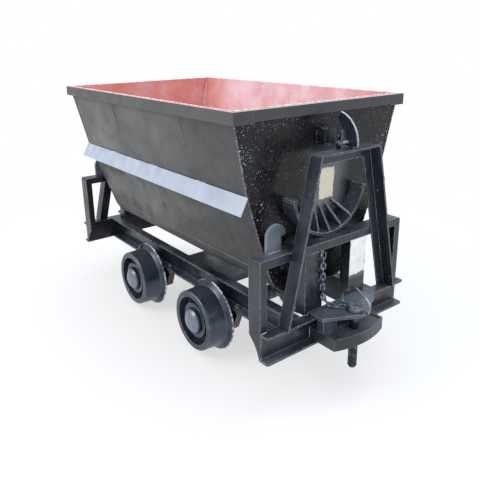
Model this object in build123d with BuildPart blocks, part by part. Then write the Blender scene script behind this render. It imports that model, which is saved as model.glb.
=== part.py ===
from build123d import *
from math import acos, atan2, cos, hypot, radians, sin, tan
import os

# A narrow-gauge side-tipping mine car. A sheet-metal hopper rocks on the tops of two
# portals, which stand on a frame of rolled channels with two axles.
# +X runs along the track to the front, +Y to the left, +Z up. All lengths in mm.
# The origin is under the middle of the car, level with the bottoms of the wheel flanges.

os.makedirs("parts", exist_ok=True)

# Clearances
FIT = 0.05              # radial play of a turning or pressed round fit
SEAT = 0.3              # play between the rockers and the portals they roll on
WELD_GAP = 0.2          # root gap where a curved or sloped plate meets another

# Track and wheels
GAUGE = 600
WHEELBASE = 610
FLANGE_R = 175
FLANGE_HEIGHT = 25
FLANGE_THICK = 24
FLANGE_PLAY = 33        # from the gauge line to the back of the flange
TREAD_WIDTH = 95
TREAD_FALL = 3.5        # fall of the tread radius towards the outer face
RIM_THICK = 27.5
RIM_DRAFT = 7
WHEEL_WEB = 18
WEB_SETBACK = 50        # from the wheel's outer face to its web
HUB_R = 85
HUB_SETBACK = 12
HUB_BACK = 9            # how far the hub stands out behind the flange
HUB_BACK_R = 74
CAP_R = 60
CAP_DOME = 26
CAP_GROOVE = 6
CAP_GROOVE_DEPTH = 8
CAP_THICK = 24          # metal left between the axle's end and the cap's edge
WHEEL_EDGE = 4          # chamfer on the rim's outer corner and at the flange's root
WHEEL_DRAFT = 3         # draft of the hub's sides
RIM_BACK_DRAFT = 10
AXLE_END_GAP = 2        # between the axle's end and the cap

# Axles and axle boxes
AXLE_R = 38
JOURNAL_R = 32.5
WHEEL_SEAT_R = 30
BOX_GAP = 6             # from the axle box to the hub and to the axle's shoulder
BOSS_R = 52
BOSS_LENGTH = 67
PEDESTAL_BOTTOM = 130
PEDESTAL_BOTTOM_HALF = 118
PEDESTAL_TOP_HALF = 165
PEDESTAL_THICK = 38
PEDESTAL_SOLE = 12

# Frame channels
FRAME_BOTTOM = 241
CHANNEL_HEIGHT = 120
CHANNEL_WIDTH = 49
CHANNEL_WEB = 6
CHANNEL_FLANGE = 8
CHANNEL_ROOT = 6
FLANGE_CORNER = 12      # rounding of the end beams' flange corners
SOLE_WHEEL_GAP = 21     # from the sole bar's flange tips to the backs of the wheels
BEAM_FACE = 845         # outer face of the end beam's web
BELLY_HALF = 218
BELLY_THICK = 8
BELLY_CORNER = 60

# Portals that carry the hopper
PORTAL_TOP = 660
PORTAL_HALF = 417
PORTAL_DEPTH = 70
PORTAL_PLATE = 6
PORTAL_FLANGE = 34
PORTAL_CORNER = 12
SKIRT_CUT = 62          # width of the cut at the lower rear corner of the portal's side plates
SKIRT_RISE = 93         # height of that cut
SKIRT_R = 155           # radius of that cut
POST_INNER = 82         # from the middle of the car to the inner post
POST_WIDTH = 100
POST_DEPTH = 53

# Stay frames in front of the portals
STAY_TOP = 1035
STAY_TOP_HALF = 168
STAY_BASE_HALF = 326
STAY_DEPTH = 60
STAY_PLATE = 7
STAY_FLANGE = 50
STAY_FLANGE_THICK = 6
STAY_CORNER = 14

# Safety hooks on the portals
HOOK_CENTRE = 298.5
HOOK_HEIGHT = 112
HOOK_HEAD_R = 47.5
HOOK_STEM_INNER = 272
HOOK_NOTCH = 5
HOOK_THICK = 12
HOOK_SETBACK = 46       # from the beam's face to the hook's front

# Hopper latch
EAR_HEIGHT = 75
EAR_WIDTH = 28
EAR_SHOULDER = 35       # height at which the ear's rear edge starts to slant
EAR_TIP = 8             # width of the ear's top
EAR_TIP_R = 3.5
EAR_THICK = 8
EAR_PITCH = 70
LATCH_Y = 5             # middle of the two ears
LATCH_PIN_R = 6
LATCH_PIN_RISE = 24
LATCH_PIN_END = 4       # how far the pin stands out of the ears
BLADE_Y = 20
BLADE_THICK = 10
BLADE_RISE = 9
BLADE_FRONT = 64        # from the beam's face to the blade's front at its foot
BLADE_FOOT = 60
BLADE_HEIGHT = 138
BLADE_REACH = 90        # from the blade's front back to its tip
BLADE_BULGE = (23, 92)  # setback and height of a point on the blade's front curve
BLADE_HOLLOW = (84, 79) # the same on its rear curve
BLADE_NOSE = (17, 20)   # setback and drop of the blunt nose below the tip
BLADE_HEEL = 50         # height at which the rear curve ends

# Couplings
PIN_X = 955
PIN_R = 19.5
PIN_DROP = 142          # how far the pin's foot hangs below the jaw
PIN_POINT = (6, 9)      # chamfer on the pin's foot, across and up
HEAD_R = 35
HEAD_TOP_R = 27
HEAD_HEIGHT = 20
HEAD_EDGE = 13          # height of the head's upright edge
JAW_HALF = 150
JAW_THICK = 52
JAW_SHOULDER = 984
JAW_NOSE = 1014
JAW_LIP = 10
JAW_POCKET = 8
POCKET_GAP = 2          # from the pocket to the box under the tongue
TONGUE_THICK = 13
TONGUE_HALF = 162
TONGUE_SHOULDER = 925
TONGUE_NOSE_X = 953
TONGUE_NOSE_R = 50
WEB_FRONT = 922         # front face of the box between jaw and tongue
WEB_THICK = 8
THROAT_HALF = 68        # opening in the front of that box

# Bail through the pin's head: sizes of its middle line, from the middle of the cross hole
BAIL_R = 5
BAIL_HALF = 71
BAIL_LEG = 50
BAIL_RISE = 90
BAIL_FOOT_BEND = 10
BAIL_SHOULDER_BEND = 18
BAIL_TOP_BEND = 15

# Chain from the pin's head to the inner post
CHAIN_PITCH = 23.5
CHAIN_WIRE = 6
CHAIN_PLAY = 0.7
LINK_WIDTH = 23
LINK_CUT = 6
LINK_FACET = 1.7
CHAIN_REST = 0.3        # from the chain to the post, the tongue and the head
CHAIN_PATH = (0,) * 8 + (22.5, 45, 67.5) + (90,) * 2    # degrees off straight down, one a link

# Hopper
PIVOT_Z = 872           # centre of the rockers, level with the bend in the hopper's sides
HOPPER_TOP = 1208
HOPPER_TOP_HALF = 464
HOPPER_BEND_HALF = 386
HOPPER_BEND_R = 20
FLOOR_Z = 410
FLOOR_HALF = 224        # to the corner where side and floor would meet
FLOOR_R = 150
WALL = 6
END_HALF = 734          # outer face of the end plates, at the pivot's height
END_SLOPE = 0.04        # how much the end plates lean outwards
SEAM_RISE = 10          # from the end of the floor's curve to the seam with the sides

# Rim, side strips and catch
RIM_SIDE_LEDGE = 12     # how far the rim stands out from the sides' upper edges
RIM_END_LEDGE = 24.5    # the same at the end plates
RIM_HEIGHT = 47         # of the bars along the sides, which turn round the corners
RIM_END_HEIGHT = 41
RIM_WRAP = 92           # how far the deeper bars turn round the corners
RIM_PLATE = 6
STRIP_HALF = 742
STRIP_WIDTH = 77
STRIP_THICK = 5
STRIP_LEAN = 28         # degrees off the vertical
STRIP_RISE = 8          # from the bend to the strip's upper edge
LUG_Y = -8
LUG_WIDTH = 64
LUG_DROP = 163          # from the hopper's top to the catch's lower edge
LUG_HEIGHT = 61
LUG_FACE = 790
LUG_PLATE = 9

# Rockers
ROCKER_FACE = 800
ROCKER_THICK = 12
ROCKER_SWEEP = 80       # degrees each way from straight down
ROCKER_BAR = 18
RIB_ANGLES = (-40, -20, 0, 20, 40)
RIB_THICK = 8
RIB_FOOT_R = 95         # where a rib meets the end plate
RIB_LAND = 14           # width of the rib's end on the rocker
RIB_SETBACK = 2         # from the rocker's face to the ribs
RIB_ROOT = 1            # how far the ribs and bars reach into the rocker's tread

# Values worked out from those above
axle_z = FLANGE_R
wheel_back = GAUGE / 2 - FLANGE_PLAY
wheel_face = wheel_back + FLANGE_THICK + TREAD_WIDTH
tread_r = FLANGE_R - FLANGE_HEIGHT
hub_back = wheel_back - HUB_BACK
axle_end = wheel_face - CAP_THICK
box_outer = hub_back - BOX_GAP
box_inner = box_outer - BOSS_LENGTH
frame_top = FRAME_BOTTOM + CHANNEL_HEIGHT
sole_tip = wheel_back - SOLE_WHEEL_GAP
sole_back = sole_tip - CHANNEL_WIDTH
beam_back = BEAM_FACE - CHANNEL_WEB
beam_tip = beam_back + CHANNEL_WIDTH
rim_half_width = HOPPER_TOP_HALF + RIM_SIDE_LEDGE
rim_half_length = END_HALF + END_SLOPE * (HOPPER_TOP - PIVOT_Z) + RIM_END_LEDGE
portal_back = BEAM_FACE - PORTAL_DEPTH
side_inner = PORTAL_HALF - PORTAL_PLATE
jaw_bottom = FRAME_BOTTOM + CHANNEL_FLANGE
jaw_top = jaw_bottom + JAW_THICK
tongue_top = frame_top + TONGUE_THICK
head_top = tongue_top + HEAD_HEIGHT
rocker_r = PIVOT_Z - PORTAL_TOP - SEAT

AXLES = (("front", WHEELBASE / 2), ("rear", -WHEELBASE / 2))
SIDES = (("left", 1), ("right", -1))
ENDS = (("front", 0), ("rear", 180))        # name, turn about the vertical axis
CORNERS = (
    ("front_left", 1, 1),
    ("front_right", 1, -1),
    ("rear_left", -1, 1),
    ("rear_right", -1, -1),
)


def save(piece, name):
    """Label a finished piece and write it to its own file."""
    piece.label = name
    export_step(piece, f"parts/{name}.step")


def cross_plane(x, side=1):
    """Upright plane across the car at x, with its local x axis pointing out to one side."""
    return Plane(origin=(x, 0, 0), x_dir=(0, side, 0), z_dir=(side, 0, 0))


def track_plane(x, y, z):
    """Upright plane along the track through a point, with its local x axis to the front."""
    return Plane(origin=(x, y, z), x_dir=(1, 0, 0), z_dir=(0, -1, 0))


def channel_section():
    """Rolled channel, back of the web on the local y axis, flanges towards +x, foot at y = 0."""
    with BuildSketch() as section:
        Rectangle(CHANNEL_WIDTH, CHANNEL_HEIGHT, align=(Align.MIN, Align.MIN))
        with Locations((CHANNEL_WEB, CHANNEL_FLANGE)):
            Rectangle(
                CHANNEL_WIDTH - CHANNEL_WEB,
                CHANNEL_HEIGHT - 2 * CHANNEL_FLANGE,
                align=(Align.MIN, Align.MIN),
                mode=Mode.SUBTRACT,
            )
        roots = section.vertices().filter_by_position(Axis.X, CHANNEL_WEB - 0.1, CHANNEL_WEB + 0.1)
        fillet(roots, CHANNEL_ROOT)
    return section.sketch


# Wheels: flange, coned tread, dished web, hub and domed cap in one casting

web_outer = wheel_face - WEB_SETBACK
web_inner = web_outer - WHEEL_WEB
hub_face = wheel_face - HUB_SETBACK
groove_floor = hub_face - CAP_GROOVE_DEPTH
face_tread_r = tread_r - TREAD_FALL
rim_bore = face_tread_r - RIM_THICK
flange_toe = wheel_back + FLANGE_THICK
flange_land = FLANGE_THICK / 3
dome_r = (CAP_R ** 2 + CAP_DOME ** 2) / (2 * CAP_DOME)
dome_turn = atan2(CAP_R, dome_r - CAP_DOME) / 2

for end, axle_x in AXLES:
    for side_name, side in SIDES:
        profile_plane = Plane(origin=(axle_x, 0, axle_z), x_dir=(1, 0, 0), z_dir=(0, 0, side))
        with BuildPart() as wheel:
            with BuildSketch(profile_plane):
                with BuildLine():
                    Polyline(
                        (0, wheel_face + CAP_DOME),
                        (0, axle_end + AXLE_END_GAP),
                        (WHEEL_SEAT_R + FIT, axle_end + AXLE_END_GAP),
                        (WHEEL_SEAT_R + FIT, hub_back),
                        (HUB_BACK_R, hub_back),
                        (HUB_BACK_R + 2 * WHEEL_DRAFT, web_inner),
                        (rim_bore, web_inner),
                        (rim_bore + RIM_BACK_DRAFT, wheel_back),
                        (FLANGE_R - WHEEL_EDGE, wheel_back),
                        (FLANGE_R, wheel_back + WHEEL_EDGE),
                        (FLANGE_R, wheel_back + flange_land),
                        (tread_r + WHEEL_EDGE, flange_toe),
                        (tread_r, flange_toe + WHEEL_EDGE),
                        (face_tread_r, wheel_face - WHEEL_EDGE),
                        (face_tread_r - WHEEL_EDGE, wheel_face),
                        (rim_bore, wheel_face),
                        (rim_bore - RIM_DRAFT, web_outer),
                        (HUB_R + WHEEL_DRAFT, web_outer),
                        (HUB_R, hub_face),
                        (CAP_R + CAP_GROOVE, hub_face),
                        (CAP_R + CAP_GROOVE, groove_floor),
                        (CAP_R, groove_floor),
                        (CAP_R, wheel_face),
                    )
                    ThreePointArc(
                        (CAP_R, wheel_face),
                        (dome_r * sin(dome_turn), wheel_face + CAP_DOME - dome_r * (1 - cos(dome_turn))),
                        (0, wheel_face + CAP_DOME),
                    )
                make_face()
            revolve(axis=Axis((axle_x, 0, axle_z), (0, 1, 0)))
        save(wheel.part, f"wheel_{end}_{side_name}")

# Axles: a thick middle, two journals and two wheel seats

shoulder = box_inner - BOX_GAP

for end, axle_x in AXLES:
    with BuildPart() as axle:
        with BuildSketch(Plane(origin=(axle_x, 0, axle_z), x_dir=(1, 0, 0), z_dir=(0, 0, 1))):
            for reach, radius in (
                (axle_end, WHEEL_SEAT_R),
                (hub_back, JOURNAL_R),
                (shoulder, AXLE_R),
            ):
                Rectangle(radius, 2 * reach, align=(Align.MIN, Align.CENTER))
        revolve(axis=Axis((axle_x, 0, axle_z), (0, 1, 0)))
    save(axle.part, f"axle_{end}")

# Axle boxes: a bearing boss in a tapered pedestal that is bolted under the sole bar

pedestal_top = FRAME_BOTTOM - PEDESTAL_SOLE
pedestal_y = (box_outer + box_inner) / 2
box_slope = (PEDESTAL_TOP_HALF - PEDESTAL_BOTTOM_HALF) / (FRAME_BOTTOM - PEDESTAL_BOTTOM)
shelf_half = PEDESTAL_TOP_HALF - box_slope * PEDESTAL_SOLE

for end, axle_x in AXLES:
    for side_name, side in SIDES:
        with BuildPart() as axle_box:
            with BuildSketch(track_plane(axle_x, side * pedestal_y, 0)):
                with BuildLine():
                    Polyline(
                        (-PEDESTAL_BOTTOM_HALF, PEDESTAL_BOTTOM),
                        (PEDESTAL_BOTTOM_HALF, PEDESTAL_BOTTOM),
                        (shelf_half, pedestal_top),
                        (-shelf_half, pedestal_top),
                        close=True,
                    )
                make_face()
            extrude(amount=PEDESTAL_THICK / 2, both=True)
            with BuildSketch(Plane.XY.offset(pedestal_top)):
                with Locations((axle_x, side * (sole_back + sole_tip) / 2)):
                    Rectangle(2 * PEDESTAL_TOP_HALF, CHANNEL_WIDTH)
            extrude(amount=PEDESTAL_SOLE)
            with BuildSketch(track_plane(axle_x, side * pedestal_y, axle_z)):
                Circle(BOSS_R)
            extrude(amount=BOSS_LENGTH / 2, both=True)
            with BuildSketch(track_plane(axle_x, side * pedestal_y, axle_z)):
                Circle(JOURNAL_R + FIT)
            extrude(amount=BOSS_LENGTH, both=True, mode=Mode.SUBTRACT)
        save(axle_box.part, f"axle_box_{end}_{side_name}")

# Sole bars and end beams, all of the same channel with its flanges outwards

for side_name, side in SIDES:
    with BuildPart() as sole_bar:
        with BuildSketch(cross_plane(0, side)):
            with Locations((sole_back, FRAME_BOTTOM)):
                add(channel_section())
        extrude(amount=beam_back, both=True)
    save(sole_bar.part, f"sole_bar_{side_name}")

with BuildPart() as end_beam:
    with BuildSketch(Plane.XZ):
        with Locations((beam_back, FRAME_BOTTOM)):
            add(channel_section())
    extrude(amount=PORTAL_HALF, both=True)
    with BuildSketch(Plane.XY.offset(FRAME_BOTTOM)):
        with Locations((beam_back, PORTAL_HALF), (beam_back, -PORTAL_HALF)):
            Rectangle(2 * CHANNEL_WEB, 2 * PORTAL_PLATE)
    extrude(amount=CHANNEL_HEIGHT, mode=Mode.SUBTRACT)
    flange_corners = end_beam.edges().filter_by(Axis.Z).group_by(Axis.X)[-1]
    fillet(flange_corners, FLANGE_CORNER)
for end, turn in ENDS:
    save(end_beam.part.rotate(Axis.Z, turn), f"end_beam_{end}")

with BuildPart() as belly_plate:
    with BuildSketch(Plane.XY.offset(FRAME_BOTTOM + CHANNEL_FLANGE)):
        RectangleRounded(2 * BELLY_HALF, 2 * sole_back, BELLY_CORNER)
    extrude(amount=BELLY_THICK)
save(belly_plate.part, "belly_plate")

# Portals: side plates and top of one bent channel, whose sides go down past the beam

with BuildPart() as portal:
    with BuildSketch(cross_plane(portal_back)):
        with Locations((0, FRAME_BOTTOM)):
            Rectangle(2 * PORTAL_HALF, PORTAL_TOP - FRAME_BOTTOM, align=(Align.CENTER, Align.MIN))
            Rectangle(
                2 * side_inner,
                PORTAL_TOP - PORTAL_PLATE - FRAME_BOTTOM,
                align=(Align.CENTER, Align.MIN),
                mode=Mode.SUBTRACT,
            )
    extrude(amount=PORTAL_DEPTH)
    for flange_x in (portal_back, BEAM_FACE - PORTAL_PLATE):
        with BuildSketch(cross_plane(flange_x)):
            with Locations((0, frame_top)):
                Rectangle(2 * PORTAL_HALF, PORTAL_TOP - frame_top, align=(Align.CENTER, Align.MIN))
                Rectangle(
                    2 * (PORTAL_HALF - PORTAL_FLANGE),
                    PORTAL_TOP - PORTAL_FLANGE - frame_top,
                    align=(Align.CENTER, Align.MIN),
                    mode=Mode.SUBTRACT,
                )
        extrude(amount=PORTAL_PLATE)
    top_corners = portal.edges().filter_by(Axis.X).group_by(Axis.Z)[-1]
    fillet(top_corners, PORTAL_CORNER)
    with BuildSketch(Plane.XZ):
        with BuildLine():
            Line((portal_back, FRAME_BOTTOM), (portal_back + SKIRT_CUT, FRAME_BOTTOM))
            RadiusArc(
                (portal_back + SKIRT_CUT, FRAME_BOTTOM),
                (portal_back, FRAME_BOTTOM + SKIRT_RISE),
                -SKIRT_R,
            )
            Line((portal_back, FRAME_BOTTOM + SKIRT_RISE), (portal_back, FRAME_BOTTOM))
        make_face()
    extrude(amount=PORTAL_HALF, both=True, mode=Mode.SUBTRACT)
for end, turn in ENDS:
    save(portal.part.rotate(Axis.Z, turn), f"portal_{end}")

# Inner posts: short channels, open to the rear, between the beam and the portal's top

post_top = PORTAL_TOP - PORTAL_FLANGE

for corner, along, side in CORNERS:
    with BuildPart() as post:
        with BuildSketch(Plane.XY.offset(frame_top)):
            with Locations((along * BEAM_FACE, side * (POST_INNER + POST_WIDTH / 2))):
                Rectangle(2 * POST_DEPTH, POST_WIDTH)
                Rectangle(
                    2 * (POST_DEPTH + PORTAL_PLATE),
                    POST_WIDTH - 2 * PORTAL_PLATE,
                    mode=Mode.SUBTRACT,
                )
                Rectangle(2 * PORTAL_PLATE, POST_WIDTH)
            with Locations((along * (BEAM_FACE + POST_DEPTH), 0)):
                Rectangle(2 * POST_DEPTH, 2 * PORTAL_HALF, mode=Mode.SUBTRACT)
        extrude(amount=post_top - frame_top)
    save(post.part, f"inner_post_{corner}")

# Stay frames: bent angle, its flat legs towards the portal, with two ears for the latch

stay_run = STAY_BASE_HALF - STAY_TOP_HALF
stay_rise = STAY_TOP - frame_top
stay_secant = hypot(stay_run, stay_rise) / stay_rise


def stay_outline(inset, drop=0):
    """Corners of the stay frame's outline, moved inwards, from the foot upwards."""
    top = STAY_TOP - inset
    half_top = STAY_TOP_HALF + inset * stay_run / stay_rise - inset * stay_secant
    half_foot = STAY_BASE_HALF - inset * stay_secant + drop * stay_run / stay_rise
    return (
        (-half_foot, frame_top - drop),
        (half_foot, frame_top - drop),
        (half_top, top),
        (-half_top, top),
    )


with BuildPart() as stay:
    for depth, leg in ((STAY_DEPTH, STAY_PLATE), (STAY_FLANGE_THICK, STAY_FLANGE)):
        with BuildSketch(cross_plane(BEAM_FACE)) as band:
            with BuildLine():
                Polyline(*stay_outline(0), close=True)
            make_face()
            fillet(band.vertices().group_by(Axis.Y)[-1], STAY_CORNER)
            with BuildSketch(mode=Mode.SUBTRACT) as window:
                with BuildLine():
                    Polyline(*stay_outline(leg, drop=1), close=True)
                make_face()
                fillet(window.vertices().group_by(Axis.Y)[-1], STAY_CORNER - STAY_PLATE)
        extrude(amount=depth)
    for ear_y in (LATCH_Y - EAR_PITCH / 2, LATCH_Y + EAR_PITCH / 2):
        with BuildSketch(Plane.XZ.offset(-ear_y)) as ear:
            with BuildLine():
                Polyline(
                    (BEAM_FACE, STAY_TOP - STAY_PLATE / 2),
                    (BEAM_FACE + EAR_WIDTH, STAY_TOP - STAY_PLATE / 2),
                    (BEAM_FACE + EAR_WIDTH, STAY_TOP + EAR_HEIGHT),
                    (BEAM_FACE + EAR_WIDTH - EAR_TIP, STAY_TOP + EAR_HEIGHT),
                    (BEAM_FACE, STAY_TOP + EAR_SHOULDER),
                    close=True,
                )
            make_face()
            fillet(ear.vertices().group_by(Axis.Y)[-1], EAR_TIP_R)
            with Locations((BEAM_FACE + EAR_WIDTH / 2, STAY_TOP + LATCH_PIN_RISE)):
                Circle(LATCH_PIN_R + FIT, mode=Mode.SUBTRACT)
        extrude(amount=EAR_THICK / 2, both=True)
for end, turn in ENDS:
    save(stay.part.rotate(Axis.Z, turn), f"stay_frame_{end}")

# Latches: a curved blade on a pin through the ears

blade_front = BEAM_FACE + BLADE_FRONT
blade_foot = (blade_front, STAY_TOP + BLADE_RISE)
blade_tip = (blade_front - BLADE_REACH, STAY_TOP + BLADE_HEIGHT)
blade_nose = (blade_tip[0] - BLADE_NOSE[0], blade_tip[1] - BLADE_NOSE[1])
blade_heel = (blade_front - BLADE_FOOT, STAY_TOP + BLADE_RISE + BLADE_HEEL)

with BuildPart() as latch:
    with BuildSketch(Plane.XZ.offset(-BLADE_Y)):
        with BuildLine():
            Line((blade_heel[0], blade_foot[1]), blade_foot)
            ThreePointArc(
                blade_foot,
                (blade_front - BLADE_BULGE[0], STAY_TOP + BLADE_BULGE[1]),
                blade_tip,
            )
            Line(blade_tip, blade_nose)
            ThreePointArc(
                blade_nose,
                (blade_front - BLADE_HOLLOW[0], STAY_TOP + BLADE_HOLLOW[1]),
                blade_heel,
            )
            Line(blade_heel, (blade_heel[0], blade_foot[1]))
        make_face()
    extrude(amount=BLADE_THICK / 2, both=True)
    with BuildSketch(Plane.XZ.offset(-LATCH_Y)):
        with Locations((BEAM_FACE + EAR_WIDTH / 2, STAY_TOP + LATCH_PIN_RISE)):
            Circle(LATCH_PIN_R)
    extrude(amount=(EAR_PITCH + EAR_THICK) / 2 + LATCH_PIN_END, both=True)
for end, turn in ENDS:
    save(latch.part.rotate(Axis.Z, turn), f"latch_{end}")

# Hooks that stand on the portals beside the rockers

for corner, along, side in CORNERS:
    hook_x = along * (BEAM_FACE - HOOK_SETBACK - HOOK_THICK / 2)
    head_z = PORTAL_TOP + HOOK_HEIGHT - HOOK_HEAD_R
    with BuildPart() as hook:
        with BuildSketch(cross_plane(hook_x, side)):
            with BuildLine():
                Polyline(
                    (HOOK_CENTRE + HOOK_HEAD_R, head_z),
                    (HOOK_CENTRE + HOOK_HEAD_R, PORTAL_TOP),
                    (HOOK_STEM_INNER, PORTAL_TOP),
                    (HOOK_STEM_INNER, head_z - HOOK_NOTCH),
                    (HOOK_CENTRE - HOOK_HEAD_R, head_z),
                )
                ThreePointArc(
                    (HOOK_CENTRE - HOOK_HEAD_R, head_z),
                    (HOOK_CENTRE, PORTAL_TOP + HOOK_HEIGHT),
                    (HOOK_CENTRE + HOOK_HEAD_R, head_z),
                )
            make_face()
        extrude(amount=HOOK_THICK / 2, both=True)
    save(hook.part, f"hook_{corner}")

# Couplings: a jaw and a tongue on the end beam, with a drop pin through both

with BuildPart() as jaw:
    with BuildSketch(Plane.XY.offset(jaw_bottom)) as jaw_plan:
        with BuildLine():
            Polyline(
                (JAW_SHOULDER, JAW_HALF),
                (BEAM_FACE, JAW_HALF),
                (BEAM_FACE, -JAW_HALF),
                (JAW_SHOULDER, -JAW_HALF),
            )
            ThreePointArc((JAW_SHOULDER, -JAW_HALF), (JAW_NOSE, 0), (JAW_SHOULDER, JAW_HALF))
        make_face()
    extrude(amount=JAW_THICK)
    heel = jaw.edges().filter_by(Axis.Y).group_by(Axis.Z)[0]
    chamfer(heel, CHANNEL_ROOT)
    with BuildSketch(Plane.XY.offset(jaw_top - JAW_POCKET)):
        add(jaw_plan.sketch)
        offset(amount=-JAW_LIP)
        with Locations((WEB_FRONT + POCKET_GAP, 0)):
            Rectangle(
                JAW_NOSE - BEAM_FACE,
                2 * JAW_HALF,
                align=(Align.MAX, Align.CENTER),
                mode=Mode.SUBTRACT,
            )
    extrude(amount=JAW_POCKET, mode=Mode.SUBTRACT)
    with BuildSketch(Plane.XY.offset(jaw_bottom)):
        with Locations((PIN_X, 0)):
            Circle(PIN_R + FIT)
    extrude(amount=JAW_THICK, mode=Mode.SUBTRACT)
for end, turn in ENDS:
    save(jaw.part.rotate(Axis.Z, turn), f"coupler_jaw_{end}")

web_reach = WEB_FRONT - beam_tip - WELD_GAP

with BuildPart() as tongue:
    with BuildSketch(Plane.XY.offset(frame_top)):
        with BuildSketch(mode=Mode.ADD):
            with Locations((TONGUE_NOSE_X, 0)):
                Circle(TONGUE_NOSE_R)
            with Locations(((BEAM_FACE + TONGUE_SHOULDER) / 2, 0)):
                Rectangle(TONGUE_SHOULDER - BEAM_FACE, 2 * TONGUE_HALF)
            make_hull()
        with Locations((PIN_X, 0)):
            Circle(PIN_R + FIT, mode=Mode.SUBTRACT)
    extrude(amount=TONGUE_THICK)
    with BuildSketch(Plane.XY.offset(jaw_top)):
        with Locations((beam_tip + WELD_GAP, 0)):
            Rectangle(web_reach, 2 * JAW_HALF, align=(Align.MIN, Align.CENTER))
            Rectangle(
                web_reach - WEB_THICK,
                2 * (JAW_HALF - WEB_THICK),
                align=(Align.MIN, Align.CENTER),
                mode=Mode.SUBTRACT,
            )
            Rectangle(
                web_reach,
                2 * THROAT_HALF,
                align=(Align.MIN, Align.CENTER),
                mode=Mode.SUBTRACT,
            )
    extrude(amount=frame_top - jaw_top)
for end, turn in ENDS:
    save(tongue.part.rotate(Axis.Z, turn), f"coupler_tongue_{end}")

# Coupling pins: a head with a cross hole, and a bail that turns in it

bail_plane = track_plane(PIN_X, 0, tongue_top + HEAD_HEIGHT / 2)
bail_bar = Plane(origin=bail_plane.origin, x_dir=(0, 1, 0), z_dir=(1, 0, 0))

with BuildPart() as coupling_pin:
    with BuildSketch(track_plane(PIN_X, 0, 0)):
        with BuildLine():
            Polyline(
                (0, jaw_bottom - PIN_DROP),
                (PIN_R - PIN_POINT[0], jaw_bottom - PIN_DROP),
                (PIN_R, jaw_bottom - PIN_DROP + PIN_POINT[1]),
                (PIN_R, tongue_top),
                (HEAD_R, tongue_top),
                (HEAD_R, tongue_top + HEAD_EDGE),
                (HEAD_TOP_R, head_top),
                (0, head_top),
                close=True,
            )
        make_face()
    revolve(axis=Axis((PIN_X, 0, 0), (0, 0, 1)))
    with BuildSketch(bail_bar):
        Circle(BAIL_R + FIT)
    extrude(amount=HEAD_R, both=True, mode=Mode.SUBTRACT)
for end, turn in ENDS:
    save(coupling_pin.part.rotate(Axis.Z, turn), f"coupling_pin_{end}")

with BuildPart() as bail:
    with BuildLine(bail_plane):
        FilletPolyline(
            (0, 0),
            (BAIL_HALF, 0),
            (BAIL_HALF, BAIL_LEG),
            (0, BAIL_RISE),
            (-BAIL_HALF, BAIL_LEG),
            (-BAIL_HALF, 0),
            (0, 0),
            radius=(
                0,
                BAIL_FOOT_BEND,
                BAIL_SHOULDER_BEND,
                BAIL_TOP_BEND,
                BAIL_SHOULDER_BEND,
                BAIL_FOOT_BEND,
            ),
        )
    with BuildSketch(bail_bar):
        Circle(BAIL_R)
    sweep()
for end, turn in ENDS:
    save(bail.part.rotate(Axis.Z, turn), f"pin_bail_{end}")

# Chains: each link is turned a quarter to its neighbour. A chain hangs down in front of an
# inner post, bends, and runs along the tongue to the side of the pin's head.

link_half = LINK_WIDTH / 2
chain_x = BEAM_FACE + CHAIN_REST + (link_half + CHAIN_WIRE / 2) * sin(radians(45))
chain_low = tongue_top + CHAIN_REST + link_half
chain_rise = CHAIN_PITCH * sum(cos(radians(slope)) for slope in CHAIN_PATH)
chain_run = CHAIN_PITCH * sum(sin(radians(slope)) for slope in CHAIN_PATH)
chain_reach = HEAD_R + CHAIN_REST + CHAIN_WIRE + CHAIN_PLAY / 2 + chain_run
chain_turn = acos((PIN_X - chain_x) / chain_reach)
outwards = Vector(cos(chain_turn), sin(chain_turn), 0)
sideways = Vector(sin(chain_turn), -cos(chain_turn), 0)

with BuildPart() as link:
    with BuildSketch() as link_plan:
        Rectangle(CHAIN_PITCH + CHAIN_PLAY + 2 * CHAIN_WIRE, LINK_WIDTH)
        chamfer(link_plan.vertices(), LINK_CUT)
        offset(amount=-CHAIN_WIRE, kind=Kind.INTERSECTION, mode=Mode.SUBTRACT)
    extrude(amount=CHAIN_WIRE / 2, both=True)
    rims = link.edges().group_by(Axis.Z)
    chamfer(rims[0] + rims[-1], LINK_FACET)

with BuildPart() as chain:
    joint = Vector(PIN_X, 0, chain_low + chain_rise) - outwards * chain_reach
    upright = True
    for slope in CHAIN_PATH:
        run = outwards * sin(radians(slope)) + Vector(0, 0, -cos(radians(slope)))
        flat = sideways.cross(run)
        middle = joint + run * (CHAIN_PITCH / 2)
        with Locations(Plane(origin=middle, x_dir=run, z_dir=sideways if upright else flat)):
            add(link.part)
        joint = joint + run * CHAIN_PITCH
        upright = not upright
for end, turn in ENDS:
    save(chain.part.rotate(Axis.Z, turn), f"pin_chain_{end}")

# Hopper: bent sides, a rounded floor and two leaning end plates

upper_slope = (HOPPER_TOP_HALF - HOPPER_BEND_HALF) / (HOPPER_TOP - PIVOT_Z)
lower_slope = (HOPPER_BEND_HALF - FLOOR_HALF) / (PIVOT_Z - FLOOR_Z)
floor_turn = atan2(1, lower_slope)
seam_z = FLOOR_Z + FLOOR_R * tan(floor_turn / 2) * sin(floor_turn) + SEAM_RISE


def end_face(z):
    """Distance from the middle of the car to an end plate's outer face, at height z."""
    return END_HALF + END_SLOPE * (z - PIVOT_Z)


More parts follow.
